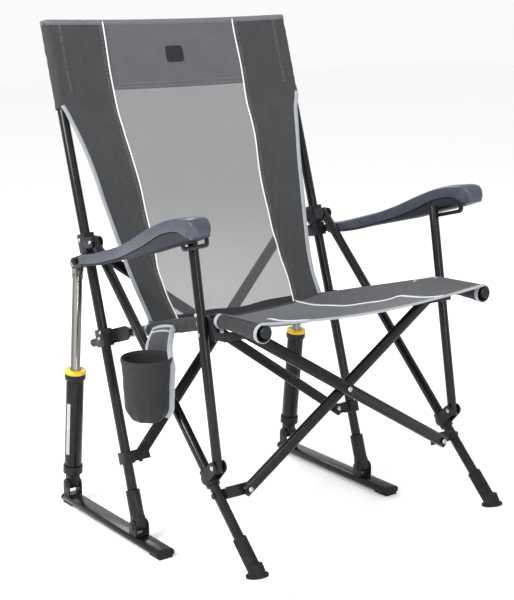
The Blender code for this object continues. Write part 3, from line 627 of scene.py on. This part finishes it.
# up the post, from the middle plane and ahead of the posts: the back's bound edge. Its piping has the first two
# values, and its sag is up the post and how far the middle hangs behind the edges
BACK_EDGE = ((1.110, 0.3250, 0.0142), (0.930, 0.3250, 0.0142), (0.912, 0.3180, 0.0130),
             (0.890, 0.3083, 0.0150), (0.860, 0.3010, 0.0205), (0.820, 0.2910, 0.0255),
             (0.760, 0.2796, 0.0285), (0.700, 0.2713, 0.0306), (0.620, 0.2587, 0.0349),
             (0.540, 0.2469, 0.0400), (0.480, 0.2375, 0.0508), (0.421, 0.2330, 0.0715))
BACK_PIPING = ((1.110, 0.1747), (0.990, 0.1763), (0.920, 0.1763), (0.890, 0.1754), (0.840, 0.1725),
               (0.780, 0.1675), (0.700, 0.1615), (0.620, 0.1624), (0.540, 0.1655), (0.470, 0.1640),
               (0.421, 0.1560))
BACK_SAG = ((1.110, 0.016), (0.930, 0.020), (0.820, 0.020), (0.620, 0.022), (0.480, 0.016), (0.421, 0.010))


def along_knots(knots, at):
    """The values of rows of knots at a place along them, eased between rows."""
    if at >= knots[0][0]:
        return knots[0][1:]
    for upper, lower in zip(knots, knots[1:]):
        if at >= lower[0]:
            t = (upper[0] - at) / (upper[0] - lower[0])
            return tuple(lerp(a, b, t) for a, b in zip(upper[1:], lower[1:]))
    return knots[-1][1:]


def smooth_knots(knots, at, reach=0.018):
    """The knots' values averaged over a short reach, which rounds their corners."""
    samples = [along_knots(knots, at + reach * shift) for shift in (-1, -0.5, 0, 0.5, 1)]
    return tuple(sum(values) / len(samples) for values in zip(*samples))


def back_edge(along):
    """(half width, how far ahead of the posts) of the back's bound edge."""
    return smooth_knots(BACK_EDGE, along)


def back_point(u, along):
    """The back's surface: u runs from -1 at the right edge to 1 at the left one."""
    half, front = back_edge(along)
    sag = smooth_knots(BACK_SAG, along)[0]
    across = max(0.0, 1 - abs(u) ** 2.4)
    x = abs(u) * half
    beyond = max(0.0, x - SIDE_X)
    wrap = SLEEVE_R - (max(0.0, SLEEVE_R ** 2 - beyond ** 2)) ** 0.5
    pull = 0.0022 * sin(along * 38 + 3 * u) * (1 - u * u) * (0.3 + abs(u))
    tuck = 0.0032 * exp(-((along - 0.905 + 0.10 * (1 - abs(u))) / 0.014) ** 2) * ease((abs(u) - 0.45) / 0.4)
    gather = tuck + 0.0016 * sin(70 * (abs(u) - along * 0.8)) * ease((abs(u) - 0.55) / 0.2) * (1 - abs(u)) * 3
    drop = (0.016 + 0.0032 * sin(9 * u + 1)) * across * ease((0.475 - along) / 0.05)
    return middle_place(u * half, along - drop, front - wrap - sag * across + pull + gather)


BACK = Cloth(back_point, AHEAD, "post_right", "fabric_grey", SIDE_X)
HEAD_HALF = BACK_EDGE[0][1]


def normal_of(cloth, u, v, step=0.002):
    """The way out of a cloth's shown face."""
    du = cloth.surface(u + step, v) - cloth.surface(u - step, v)
    dv = cloth.surface(u, v + step) - cloth.surface(u, v - step)
    normal = du.cross(dv)
    normal = normal.normalized() if normal.length > 1e-12 else AHEAD
    return -normal if normal.dot(cloth.facing) < 0 else normal


def sew(cloth, obj, *nodes):
    """A piece of a cloth, riding on the cloth's body with a mesh of its own."""
    finish_piece(obj, cloth.body, cloth.slot, *nodes)
    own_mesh(obj)
    return obj


def seam_warp(seam, piping):
    """A warp that puts the grid's columns at the seam on the piping."""
    def warp(column, along):
        split = piping(along)
        if abs(column) <= seam:
            return column / seam * split
        return (split + (abs(column) - seam) / (1 - seam) * (1 - split)) * (1 if column > 0 else -1)
    return warp


def cloth_grid(name, cloth, columns, rows, warp, material_of, materials):
    """A sheet over a grid whose columns are placed by warp(column, row value), with metric UVs."""
    bm = bmesh.new()
    uv = bm.loops.layers.uv.new("metric")
    grid = [[bm.verts.new(cloth.surface(warp(c, v), v)) for c in columns] for v in rows]
    middle = len(columns) // 2
    lengths = run_of([row[middle].co for row in grid])
    for i in range(len(rows) - 1):
        for j in range(len(columns) - 1):
            face = bm.faces.new((grid[i][j], grid[i][j + 1], grid[i + 1][j + 1], grid[i + 1][j]))
            face.material_index = material_of((columns[j] + columns[j + 1]) / 2, (rows[i] + rows[i + 1]) / 2)
            corners = ((i, j), (i, j + 1), (i + 1, j + 1), (i + 1, j))
            for loop, (a, b) in zip(face.loops, corners):
                loop[uv].uv = (grid[a][b].co.x, lengths[a])
    bmesh.ops.recalc_face_normals(bm, faces=bm.faces[:])
    obj = new_object(name, bm, materials, 60)
    return thicken(obj, CLOTH_T, 0.0)


def steps(low, high, count):
    return [low + (high - low) * i / count for i in range(count + 1)]


def piping_at(along):
    """How far across the back the piping runs, as a share of the half width."""
    return smooth_knots(BACK_PIPING, along)[0] / back_edge(along)[0]


def trim(cloth, name, path, lift, width, height, key):
    """A strip sewn on a cloth along places on its surface."""
    points, normals = [], []
    for where in path:
        normal = normal_of(cloth, *where)
        points.append(cloth.surface(*where) + normal * lift)
        normals.append(normal)
    return sew(cloth, new_object(name, sweep(points, normals, width, height), key, 60))


def dashes(cloth, path, lift, length=0.0030, gap=0.0016, width=0.0011):
    """A row of stitches on a cloth, each a short raised thread."""
    points = [cloth.surface(*where) for where in path]
    bm = bmesh.new()
    travelled, drawn = 0.0, 0.0
    for index in range(len(points) - 1):
        a, b = points[index], points[index + 1]
        step = (b - a).length
        if step < 1e-6:
            continue
        normal = normal_of(cloth, *path[index])
        way = (b - a) / step
        side = way.cross(normal).normalized() * (width / 2)
        while drawn < travelled + step:
            start = a + way * max(0.0, drawn - travelled)
            end = start + way * min(length, max(0.0006, travelled + step - drawn))
            up = normal * lift
            low = [start - side, start + side, end + side, end - side]
            corners = [bm.verts.new(p) for p in low]
            ridge = [bm.verts.new(start + way * 0.0004 + up), bm.verts.new(end - way * 0.0004 + up)]
            bm.faces.new((corners[0], corners[1], ridge[0]))
            bm.faces.new((corners[1], corners[2], ridge[1], ridge[0]))
            bm.faces.new((corners[2], corners[3], ridge[1]))
            bm.faces.new((corners[3], corners[0], ridge[0], ridge[1]))
            bm.faces.new((corners[3], corners[2], corners[1], corners[0]))
            drawn += length + gap
        travelled += step
    bmesh.ops.recalc_face_normals(bm, faces=bm.faces[:])
    return bm


def stitch_rows(cloth, name, paths):
    bm = bmesh.new()
    for path in paths:
        merge(bm, dashes(cloth, path, CLOTH_T / 2 + 0.0007))
    return sew(cloth, new_object(name, bm, "stitch", 180))


def make_back():
    seam = 0.62
    columns = steps(-1, -seam, 16)[:-1] + steps(-seam, seam, 40)[:-1] + steps(seam, 1, 16)
    rows = steps(BACK_TOP, HEAD_LOW, 14)[:-1] + steps(HEAD_LOW, STRIP_TOP, 60)[:-1]
    rows += steps(STRIP_TOP, BACK_BOTTOM, 3)

    def material_of(column, along):
        if abs(column) > seam:
            return 0
        if along < STRIP_TOP:
            return 3
        return 1 if along > HEAD_LOW else 2

    cloth = cloth_grid("back_cloth", BACK, columns, rows, seam_warp(seam, piping_at), material_of,
                       ("panel", "head", "mesh", "strip"))
    sew(BACK, cloth, "back_fabric")
    trims, stitches = [], []
    down = steps(BACK_TOP - 0.001, BACK_BOTTOM, 80)
    for name, side in SIDES:
        pipe = [(piping_at(along) * side, along) for along in down]
        trims.append(trim(BACK, f"back_piping_{name}", pipe, *PIPING))
        edge = [(0.985 * side, along) for along in steps(POCKET_END + 0.004, BACK_BOTTOM, 60)]
        trims.append(trim(BACK, f"back_edge_binding_{name}", edge, 0.0, 0.0105, 0.0042, "binding"))
        for offset in (0.0055, 0.0095):
            stitches.append([((piping_at(along) + offset / back_edge(along)[0]) * side, along)
                             for along in down])
        pocket = [(POCKET_SEAM / HEAD_HALF * side, along)
                  for along in steps(BACK_TOP - 0.004, POCKET_END + 0.030, 20)]
        stitches += [pocket, [(u + 0.012 * side, along) for u, along in pocket]]
    top = [(u, BACK_TOP - 0.002) for u in steps(-1, 1, 70)]
    trims.append(trim(BACK, "back_top_binding", top, 0.0, 0.0125, 0.0052, "top_binding"))
    for along in (HEAD_LOW + 0.003, HEAD_LOW + 0.012):
        reach = piping_at(along)
        stitches.append([(u, along) for u in steps(-reach, reach, 50)])
    reach = piping_at(HEAD_LOW)
    seam_line = [(u, HEAD_LOW) for u in steps(-reach, reach, 50)]
    trims.append(trim(BACK, "head_seam", seam_line, 0.0004, 0.0040, 0.0026, "head"))
    low = [(u, BACK_BOTTOM + 0.003) for u in steps(-1, 1, 60)]
    trims.append(trim(BACK, "back_lower_hem", low, 0.0, 0.010, 0.0048, "strip"))
    trims.append(stitch_rows(BACK, "back_stitches", stitches))
    trims.append(make_badge())


# the tab on the head: its foot and top up the post, how far it stands off the middle, and half its width
BADGE_LOW, BADGE_HIGH = 1.008, 1.046
BADGE_X, BADGE_HALF = 0.001, 0.023
# (share of its outline, height over the cloth) from its edge over the border to its middle
BADGE_RELIEF = ((1.0, 0.0), (1.0, 0.0018), (0.93, 0.0024), (0.86, 0.0019), (0.45, 0.0019))


def squared(value, power=0.35):
    """A sine or cosine pushed towards 1, which squares a circle's corners out."""
    return abs(value) ** power * (1 if value > 0 else -1)


def make_badge():
    """A plain woven tab, with a raised border, in the middle of the head panel."""
    bm = bmesh.new()
    turns = [2 * pi * step / 40 for step in range(40)]
    rings = []
    for scale, lift in BADGE_RELIEF:
        ring = []
        for turn in turns:
            u = (BADGE_X + squared(cos(turn)) * scale * BADGE_HALF) / HEAD_HALF
            along = (BADGE_LOW + BADGE_HIGH) / 2 + squared(sin(turn)) * scale * (BADGE_HIGH - BADGE_LOW) / 2
            ring.append(bm.verts.new(back_point(u, along) + normal_of(BACK, u, along) * lift))
        rings.append(ring)
    skin(bm, rings)
    bm.faces.new(rings[-1])
    bm.faces.new(list(reversed(rings[0])))
    bmesh.ops.recalc_face_normals(bm, faces=bm.faces[:])
    return sew(BACK, new_object("head_badge", bm, "badge", 50))


def sleeve(name, body, path, radii, key):
    """A cloth sleeve round a tube, with soft creases."""
    points = smooth_path(path, 10)
    radius = sum(radii) / 2
    bm = bmesh.new()
    uv = bm.loops.layers.uv.new("metric")
    sides = 28
    rings = []
    run = run_of(points)
    for index, (sideways, out) in enumerate(frame_along(points, [Vector((1, 0, 0))] * len(points))):
        crease = 0.0005 * sin(run[index] * 210) + 0.0004 * sin(run[index] * 97 + 1)
        ring = []
        for step in range(sides):
            a = 2 * pi * step / sides
            widen = ease(run[index] / run[-1] * 1.6 - 0.6)
            r = lerp(*radii, widen) + crease * (0.6 + 0.4 * sin(a * 3 + run[index] * 40))
            ring.append(bm.verts.new(points[index] + (sideways * cos(a) + out * sin(a)) * r))
        rings.append(ring)
    wrap(bm, uv, rings, 2 * pi * radius / sides, run)
    bmesh.ops.recalc_face_normals(bm, faces=bm.faces[:])
    obj = thicken(new_object(name, bm, key, 180), 0.0010, -1.0)
    finish_piece(obj, body, "fabric_grey")
    return obj


def band(name, body, centre, way, radius, width=0.009, height=0.0016, key="binding"):
    """A binding tape round a sleeve's end."""
    count = 40
    turn = way.to_track_quat("Z", "Y").to_matrix()
    outline = [turn @ Vector((cos(2 * pi * i / count), sin(2 * pi * i / count), 0)) for i in range(count)]
    bm = bmesh.new()
    rings = []
    for out in outline:
        section = []
        for across, up in ((-0.5, 0), (-0.42, 1), (0.42, 1), (0.5, 0), (0.42, -0.4), (-0.42, -0.4)):
            height_out = centre + out * (radius + up * height)
            section.append(bm.verts.new(height_out + way.normalized() * (across * width)))
        rings.append(section)
    skin(bm, [*rings, rings[0]])
    bmesh.ops.recalc_face_normals(bm, faces=bm.faces[:])
    obj = new_object(name, bm, key, 50)
    return finish_piece(obj, body, "fabric_grey")


# the profile of a pocket's closed top: (radius, distance up)
POCKET_CAP = ((0.0, 0.0), (0.0136, 0.0), (0.0142, 0.003), (0.0138, 0.0062), (0.0110, 0.0082), (0.0, 0.0090))


def make_pockets():
    """The back's pockets over the tops of the posts."""
    for name, side in SIDES:
        path = [place(side, 0.0, along, 0.0) for along in steps(POCKET_END, BACK_TOP - 0.002, 6)]
        sleeve(f"post_pocket_{name}", f"post_{name}", path, (SLEEVE_R, SLEEVE_R), "panel")
        band(f"pocket_hem_{name}", f"post_{name}", place(side, 0, POCKET_END + 0.004, 0), UP, 0.0136,
             height=0.0008, key="panel")
        top = place(side, 0, BACK_TOP - 0.004, 0)
        cap = turned(top, top + UP, POCKET_CAP, 32)
        finish_piece(new_object(f"pocket_top_{name}", cap, "top_binding", 60), f"post_{name}", "fabric_grey")


# ---------------------------------------------------------------- seat

SEAT_REAR = 0.0
SEAT_HALF_REAR = 0.236


def rail_line(distance):
    """The place of the rail's centre line at a distance from its pivot, and the way up out of it."""
    pivot, hinge, tip = Vector(RAIL_PIVOT), Vector(RAIL_HINGE), Vector(RAIL_TIP)
    first = (hinge - pivot).length + 0.026
    way = (hinge - pivot).normalized()
    corner = pivot + way * first
    after = (tip - corner).normalized()
    t = ease((distance - first + 0.03) / 0.06)
    straight = pivot + way * distance
    bent = corner + after * (distance - first)
    point = straight.lerp(bent, t)
    turn = way.lerp(after, t).normalized()
    return point, Vector((turn.y, -turn.x))


# behind and in front of the seat hub
RAIL_LENGTH = 0.332 + 0.167


def rail_way(side):
    """The direction of the rail's rear part."""
    return (place(side, 0, *RAIL_HINGE) - place(side, 0, *RAIL_PIVOT)).normalized()


def seat_half(distance):
    return lerp(SEAT_HALF_REAR, RAIL_X + 0.002, ease(distance / 0.10))


def seat_point(u, distance):
    """The seat's surface: u from -1 over the right rail to 1 over the left one."""
    point, out = rail_line(distance)
    t = max(0.0, min(1.0, (distance - SEAT_REAR) / (RAIL_LENGTH - SEAT_REAR)))
    deep = lerp(0.016, 0.013, t) + 0.036 * sin(pi * t) ** 0.8
    across = max(0.0, 1 - abs(u) ** 2.2)
    fold = 0.0012 * sin(distance * 48 + 4 * u) * across
    height = RAIL_R + 0.0040 - deep * across + fold
    return middle_place(u * seat_half(distance), point.x + out.x * height, point.y + out.y * height)


SEAT = Cloth(seat_point, Vector((0, 0, 1)), "rail_right", "fabric_mesh", RAIL_X)


def seat_piping(distance):
    """Where the piping runs on the seat, as a share of the half width."""
    t = (distance - SEAT_REAR) / (RAIL_LENGTH - SEAT_REAR)
    return lerp(0.157, 0.172, ease(t)) / seat_half(distance)


def make_seat():
    seam = 0.60
    columns = steps(-1, -seam, 14)[:-1] + steps(-seam, seam, 36)[:-1] + steps(seam, 1, 14)
    rows = steps(SEAT_REAR, RAIL_LENGTH - 0.004, 56)

    def material_of(column, distance):
        return 0 if abs(column) > seam else 1

    cloth = cloth_grid("seat_cloth", SEAT, columns, rows, seam_warp(seam, seat_piping), material_of,
                       ("seat_side", "seat_mesh"))
    sew(SEAT, cloth, "seat_fabric")
    trims, stitches = [], []
    along = steps(SEAT_REAR, RAIL_LENGTH - 0.006, 60)
    for name, side in SIDES:
        pipe = [(seat_piping(d) * side, d) for d in along]
        trims.append(trim(SEAT, f"seat_piping_{name}", pipe, *PIPING))
        for offset in (0.006, 0.010):
            stitches.append([((seat_piping(d) + offset / seat_half(d)) * side, d) for d in along])
    front = [(u, RAIL_LENGTH - 0.004) for u in steps(-1, 1, 70)]
    trims.append(trim(SEAT, "seat_front_binding", front, 0.0, 0.0135, 0.0050, "binding"))
    stitches.append([(u, RAIL_LENGTH - 0.014) for u in steps(-0.98, 0.98, 70)])
    rear = [(u, SEAT_REAR + 0.003) for u in steps(-1, 1, 60)]
    trims.append(trim(SEAT, "seat_rear_hem", rear, 0.0, 0.012, 0.0050, "strip"))
    trims.append(stitch_rows(SEAT, "seat_stitches", stitches))


def make_rail_sleeves():
    """The seat's sleeves round the rails, with their bindings, and the tapes between them."""
    hub = (Vector(RAIL_HINGE) - Vector(RAIL_PIVOT)).length
    for name, side in SIDES:
        for part, low, high, radii in (("rear", 0.078, hub - 0.036, (0.0132, 0.0136)),
                                       ("front", hub + 0.020, RAIL_LENGTH - 0.002, (0.0138, 0.0172))):
            path = []
            for distance in steps(low, high, 5):
                point, out = rail_line(distance)
                drop = 0.0030 * ease((distance - low) / (high - low)) if part == "front" else 0.0
                path.append(place(side, RAIL_OUT, point.x - out.x * drop, point.y - out.y * drop))
            sleeve(f"rail_sleeve_{part}_{name}", f"rail_{name}", path, radii, "sleeve")
            for end, where in (("a", 0), ("b", -1)):
                way = (path[1] - path[0]) if where == 0 else (path[-1] - path[-2])
                shift = way.normalized() * (0.0045 if where == 0 else -0.0045)
                band(f"rail_binding_{part}_{end}_{name}", f"rail_{name}", path[where] + shift, way,
                     radii[where] + 0.0003, height=0.0012)
        for tie, distance in (("pivot", 0.034), ("hub", hub - 0.020)):
            point = rail_line(distance)[0]
            band(f"rail_tape_{tie}_{name}", f"rail_{name}", place(side, RAIL_OUT, point.x, point.y),
                 rail_way(side), RAIL_R + 0.0004)


# ---------------------------------------------------------------- armrests

# stations from the pivot to the tip: (ahead, top, groove and bottom up the post, inner and outer side)
ARM_STATIONS = (
    (0.0160, 0.5890, 0.5725, 0.5692, 0.0146, 0.0367), (0.0180, 0.5905, 0.5716, 0.5681, 0.0138, 0.0375),
    (0.0300, 0.5905, 0.5715, 0.5680, 0.0138, 0.0375), (0.0780, 0.5865, 0.5645, 0.5610, 0.0138, 0.0375),
    (0.1200, 0.5850, 0.5615, 0.5580, 0.0138, 0.0380), (0.1640, 0.5840, 0.5605, 0.5570, 0.0138, 0.0400),
    (0.2150, 0.5836, 0.5605, 0.5545, 0.0138, 0.0450), (0.2755, 0.5862, 0.5618, 0.5515, 0.0138, 0.0535),
    (0.3100, 0.5895, 0.5638, 0.5495, 0.0138, 0.0575), (0.3390, 0.5925, 0.5662, 0.5488, 0.0138, 0.0600),
    (0.3650, 0.5950, 0.5695, 0.5485, 0.0138, 0.0612), (0.3930, 0.5970, 0.5735, 0.5483, 0.0138, 0.0620),
    (0.4200, 0.5980, 0.5752, 0.5478, 0.0138, 0.0622), (0.4500, 0.5965, 0.5733, 0.5470, 0.0138, 0.0620),
    (0.4730, 0.5935, 0.5680, 0.5472, 0.0138, 0.0618), (0.4920, 0.5900, 0.5570, 0.5475, 0.0140, 0.0615),
)
NOSE_MIDDLE = Vector((0.5655, 0.5010))
NOSE_LOW = Vector((0.5478, 0.4975))
NOSE_R = 0.0222
NOSE_RIB = 0.0009
# the faces of arm_section's outline at and below the groove, which take a darker copy of the moulding as
# painted shade
PAINTED_SHADE_FACES = (0, 1, 2, 3, 4, 21, 22, 23, 24)


def arm_section(low, high, groove, inner, outer):
    """The outline across the arm, from its bottom point to its top point, with a step in at the groove."""
    tall = (high - low).length
    edge = min(0.0065, tall * 0.28)
    inset, channel = 0.0028, 0.0024
    flat = [(inner + inset + 0.004, 0.0), (outer - inset - 0.004, 0.0), (outer - inset, 0.0035),
            (outer - inset, groove - 0.0020), (outer - inset - channel, groove - 0.0016),
            (outer - inset - channel, groove - 0.0001), (outer - 0.0004, groove + 0.0002),
            (outer, groove + 0.0014), (outer, tall - edge), (outer - edge * 0.10, tall - edge * 0.55),
            (outer - edge * 0.33, tall - edge * 0.20), (outer - edge, tall)]
    wide = outer - inner - 2 * edge
    for share in (0.25, 0.5, 0.75):
        flat.append((outer - edge - wide * share, tall + 0.0014 * sin(pi * share)))
    flat += [(inner + outer - x, y) for x, y in reversed(flat[2:12])]
    way = (high - low) / tall
    return [(x, low.x + way.x * y, low.y + way.y * y) for x, y in flat]


def make_arm_tongue(name, side):
    """The black end of the arm's steel core, round at the pivot and buried in the moulding in front of it."""
    pivot, front = Vector(ARM_PIVOT), Vector((0.5775, 0.0500))
    turns = [radians(10 * step) for step in range(0, -19, -1)]
    outline = [pivot + Vector((cos(a), sin(a))) * 0.0088 for a in turns]
    outline += [front - Vector((0.0072, 0)), front + Vector((0.0072, 0))]
    bm = bmesh.new()
    ends = [[bm.verts.new(place(side, out, *point)) for point in outline] for out in (0.0172, 0.0335)]
    skin(bm, ends)
    bm.faces.new(ends[0])
    bm.faces.new(list(reversed(ends[1])))
    bmesh.ops.recalc_face_normals(bm, faces=bm.faces[:])
    rim = [edge for edge in bm.edges if edge.calc_face_angle(0) > radians(60)]
    bmesh.ops.bevel(bm, geom=rim, offset=0.0011, segments=2, affect="EDGES")
    finish_piece(new_object(f"arm_tongue_{name}", bm, "bracket", 40), f"arm_{name}", "bracket_black")


def make_armrest(name, side):
    bm = bmesh.new()
    stations = [Vector(station[:3]) for station in ARM_STATIONS]
    others = [Vector(station[3:]) for station in ARM_STATIONS]
    sections = []
    pairs = zip(smooth_path(stations, 3), smooth_path(others, 3))
    for (ahead, top, groove), (bottom, inner, outer) in pairs:
        low, high = Vector((bottom, ahead)), Vector((top, ahead))
        sections.append(arm_section(low, high, max(0.0048, groove - bottom), inner, outer))
    fan = 14
    for step in range(1, fan + 1):
        turn = radians(lerp(92, -52, step / fan))
        radius = NOSE_R + (NOSE_RIB if step % 3 == 1 else 0.0)
        high = NOSE_MIDDLE + Vector((sin(turn), cos(turn))) * radius
        squeeze = 0.0045 * ease(step / fan)
        sections.append(arm_section(NOSE_LOW, high, 0.0048, 0.0140 + squeeze, 0.0615 - squeeze))
    rings = [[bm.verts.new(place(side, *point)) for point in section] for section in sections]
    count = len(rings[0])
    for one, two in zip(rings, rings[1:]):
        for i in range(count):
            j = (i + 1) % count
            face = bm.faces.new((one[i], one[j], two[j], two[i]))
            # the faces at and below the groove take the darker copy of the moulding, painted shade on the web
            face.material_index = 1 if i in PAINTED_SHADE_FACES else 0
    bm.faces.new(rings[0])
    bm.faces.new(list(reversed(rings[-1])))
    bmesh.ops.remove_doubles(bm, verts=bm.verts[:], dist=5e-5)
    bmesh.ops.recalc_face_normals(bm, faces=bm.faces[:])
    obj = new_object(f"armrest_moulding_{name}", bm, ("arm", "arm_painted_shade"), 48)
    return finish_piece(obj, f"arm_{name}", "moulded_slate", f"armrest_{name}")


# ---------------------------------------------------------------- cup pouch


POUCH_LOW, POUCH_HIGH = (Vector(corner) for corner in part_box("cup_pouch"))
# the bag stands a little out and ahead of its box, and is wider and deeper
POUCH_TOP = Vector(((POUCH_LOW.x + POUCH_HIGH.x) / 2 - 0.0020, (POUCH_LOW.y + POUCH_HIGH.y) / 2 - 0.0070,
                    POUCH_HIGH.z))
POUCH_WIDE = (POUCH_HIGH.x - POUCH_LOW.x) / 2 + 0.0020
POUCH_DEEP = (POUCH_HIGH.y - POUCH_LOW.y) / 2 + 0.0065
POUCH_TALL = POUCH_HIGH.z - POUCH_LOW.z
POUCH_T = 0.0018
# how far each way round the bag from inboard the flap is sewn, and its ends along the rail, front and rear
FLAP_SPREAD = radians(52)
FLAP_ON_RAIL = (0.200, 0.118)


def bag(a, t):
    """The bag's side: a round from inboard, t from 0 at the rim to 1 at the bottom's edge."""
    lower = max(0.0, t - 0.80) / 0.20
    shrink = 1.0 - 0.10 * t - 0.16 * lower ** 2.4
    crease = 0.045 * sin(3 * a + 7 * t + 1.2) * t + 0.034 * sin(8 * a - 11 * t) * t * t
    tuck = 0.030 * max(0.0, cos(a + 0.5)) ** 6 * lower
    x = POUCH_WIDE * shrink * (1 - abs(crease) - tuck) * cos(a)
    y = POUCH_DEEP * shrink * (1 - abs(crease) - tuck) * sin(a)
    sag = 0.006 * sin(a + 0.9) * lower
    tilt = 0.0035 * sin(a + 2.4) * (1 - t)
    return POUCH_TOP + Vector((x, y, -POUCH_TALL * t * 0.985 + sag + tilt))


def make_bag():
    """The pouch's bag, open at the top, with its bottom drawn in to a flat middle."""
    bm = bmesh.new()
    uv = bm.loops.layers.uv.new("metric")
    around, down = 96, 40
    rings = [[bm.verts.new(bag(2 * pi * step / around, row / down)) for step in range(around)]
             for row in range(down + 1)]
    wrap(bm, uv, rings, 2 * pi * POUCH_WIDE / around, [row * POUCH_TALL / down for row in range(down + 1)])
    last = rings[-1]
    heart = sum((vert.co for vert in last), Vector()) / around + Vector((0, 0, -0.0005))
    for share in (0.85, 0.5):
        sink = Vector((0, 0, -0.004 * (1 - share)))
        inner = [bm.verts.new(heart.lerp(vert.co, share) + sink) for vert in rings[-1]]
        skin(bm, [last, inner])
        last = inner
    bm.faces.new(last)
    bmesh.ops.recalc_face_normals(bm, faces=bm.faces[:])
    pouch = thicken(new_object("pouch_bag", bm, "pouch", 75), POUCH_T, -1.0)
    return finish_piece(pouch, "rail_right", "pouch_fabric", "cup_pouch")


def pouch_strip(name, points, normals, width, height=0.0040, key="binding"):
    strip = new_object(name, sweep(points, normals, width, height), key, 60)
    return finish_piece(strip, "rail_right", "pouch_fabric")


def make_flap():
    """The flap from the bag's inboard rim up to the rail's sleeve, and the places of its grid."""
    bm = bmesh.new()
    uv = bm.loops.layers.uv.new("metric")
    rows, columns = 8, 12
    grid = []
    for row in range(rows + 1):
        t = row / rows
        line = []
        for column in range(columns + 1):
            share = column / columns
            point = rail_line(lerp(*FLAP_ON_RAIL, share))[0]
            top = place(-1, RAIL_OUT + 0.0150, point.x + 0.004 * sin(pi * share), point.y)
            foot = bag(lerp(-FLAP_SPREAD, FLAP_SPREAD, share), 0.0) + Vector((0.0010, 0, -0.004))
            belly = Vector((-0.006 * sin(pi * t), 0, -0.003 * sin(pi * t)))
            line.append(bm.verts.new(foot.lerp(top, t) + belly))
        grid.append(line)
    for i in range(rows):
        for j in range(columns):
            face = bm.faces.new((grid[i][j], grid[i][j + 1], grid[i + 1][j + 1], grid[i + 1][j]))
            for loop, (a, b) in zip(face.loops, ((i, j), (i, j + 1), (i + 1, j + 1), (i + 1, j))):
                loop[uv].uv = (b * 0.007, a * 0.006)
    places = [[vert.co.copy() for vert in line] for line in grid]
    bmesh.ops.recalc_face_normals(bm, faces=bm.faces[:])
    flap = thicken(new_object("pouch_flap", bm, "panel", 60), POUCH_T, 0.0)
    return finish_piece(flap, "rail_right", "pouch_fabric"), places


def make_pouch():
    pouch = make_bag()
    turns = [2 * pi * i / 72 for i in range(73)]
    outward = [Vector((cos(a), sin(a), 0)) for a in turns]
    trims = [pouch_strip("pouch_rim_hem", [bag(a, 0.012) for a in turns], outward, 0.011, 0.0034, "pouch")]
    flap, places = make_flap()
    facing = Vector((-1, -0.3, 0.2)).normalized()
    fin = Vector((0.42, 0.90, 0)).normalized()
    # the front seam runs from the bag's bottom up to the rim, and on up the flap's front edge
    down_bag = (1.0, 0.85, 0.7, 0.55, 0.4, 0.25, 0.1)
    front = [bag(-FLAP_SPREAD - 0.02, t) + Vector((0.0022, -0.0042, 0)) for t in down_bag]
    for name, path, count, way, width in (
        ("flap_top_binding", places[-1], 4, facing, 0.0085),
        ("flap_second_binding", places[-2], 4, facing, 0.0060),
        ("pouch_front_binding", front + [line[0] for line in places], 5, fin, 0.0120),
        ("pouch_rear_binding", [line[-1] for line in places], 5, facing, 0.0085),
    ):
        seam = smooth_path(path, count)
        trims.append(pouch_strip(name, seam, [way] * len(seam), width))


# ---------------------------------------------------------------- the studio

TARGET = Vector((MIDDLE_X, PIN.y - 0.1225, 0.5))
AZIMUTH, ELEVATION, DISTANCE = radians(-36.7), radians(13.4), 3.03
LENS = 99.3
SHIFT = (-0.0623, 0.0156)
FLOOR_SIZE, FLOOR_WHITE = 12, 0.97
WORLD_STRENGTH = 0.96
# each lamp's name, place, size and power; they all face LAMP_TARGET
LAMPS = (
    ("key", (-3.2, -0.6, 2.9), (1.4, 1.4), 150),
    ("strip", (-0.7, -3.6, 1.3), (0.22, 2.6), 46),
    ("rim", (0.8, 2.8, 2.6), (1.6, 1.6), 45),
)
LAMP_TARGET = Vector((0, 0, 0.5))


def make_camera():
    toward = Vector((sin(AZIMUTH) * cos(ELEVATION), -cos(AZIMUTH) * cos(ELEVATION), sin(ELEVATION)))
    data = bpy.data.cameras.new("camera")
    data.sensor_fit = "HORIZONTAL"
    data.sensor_width = 36
    data.lens = LENS
    data.shift_x, data.shift_y = SHIFT
    camera = bpy.data.objects.new("camera", data)
    camera.location = TARGET + toward * DISTANCE
    camera.rotation_euler = (-toward).to_track_quat("-Z", "Y").to_euler()
    bpy.context.scene.collection.objects.link(camera)
    bpy.context.scene.camera = camera


def make_studio():
    bm = bmesh.new()
    bmesh.ops.create_grid(bm, x_segments=2, y_segments=2, size=FLOOR_SIZE)
    floor = new_object("floor", bm, (), 180)
    paint = bpy.data.materials.new("floor_white")
    paint.use_nodes = True
    shader = paint.node_tree.nodes["Principled BSDF"]
    shader.inputs["Base Color"].default_value = (FLOOR_WHITE, FLOOR_WHITE, FLOOR_WHITE, 1)
    shader.inputs["Roughness"].default_value = 0.9
    floor.data.materials.append(paint)
    world = bpy.data.worlds.new("studio")
    world.use_nodes = True
    background = world.node_tree.nodes["Background"]
    background.inputs["Color"].default_value = (1, 1, 1, 1)
    background.inputs["Strength"].default_value = WORLD_STRENGTH
    bpy.context.scene.world = world
    for name, where, size, power in LAMPS:
        data = bpy.data.lights.new(name, "AREA")
        data.shape = "RECTANGLE"
        data.size, data.size_y = size
        data.energy = power
        light = bpy.data.objects.new(name, data)
        light.location = where
        light.rotation_euler = (LAMP_TARGET - Vector(where)).to_track_quat("-Z", "Y").to_euler()
        bpy.context.scene.collection.objects.link(light)


bpy.context.scene.view_settings.view_transform = "Standard"
make_camera()
make_studio()
make_hardware()
make_rivets()
make_brace_rivets()
make_back()
make_pockets()
make_seat()
make_rail_sleeves()
for side_name, side_way in SIDES:
    make_armrest(side_name, side_way)
    make_arm_tongue(side_name, side_way)
make_pouch()
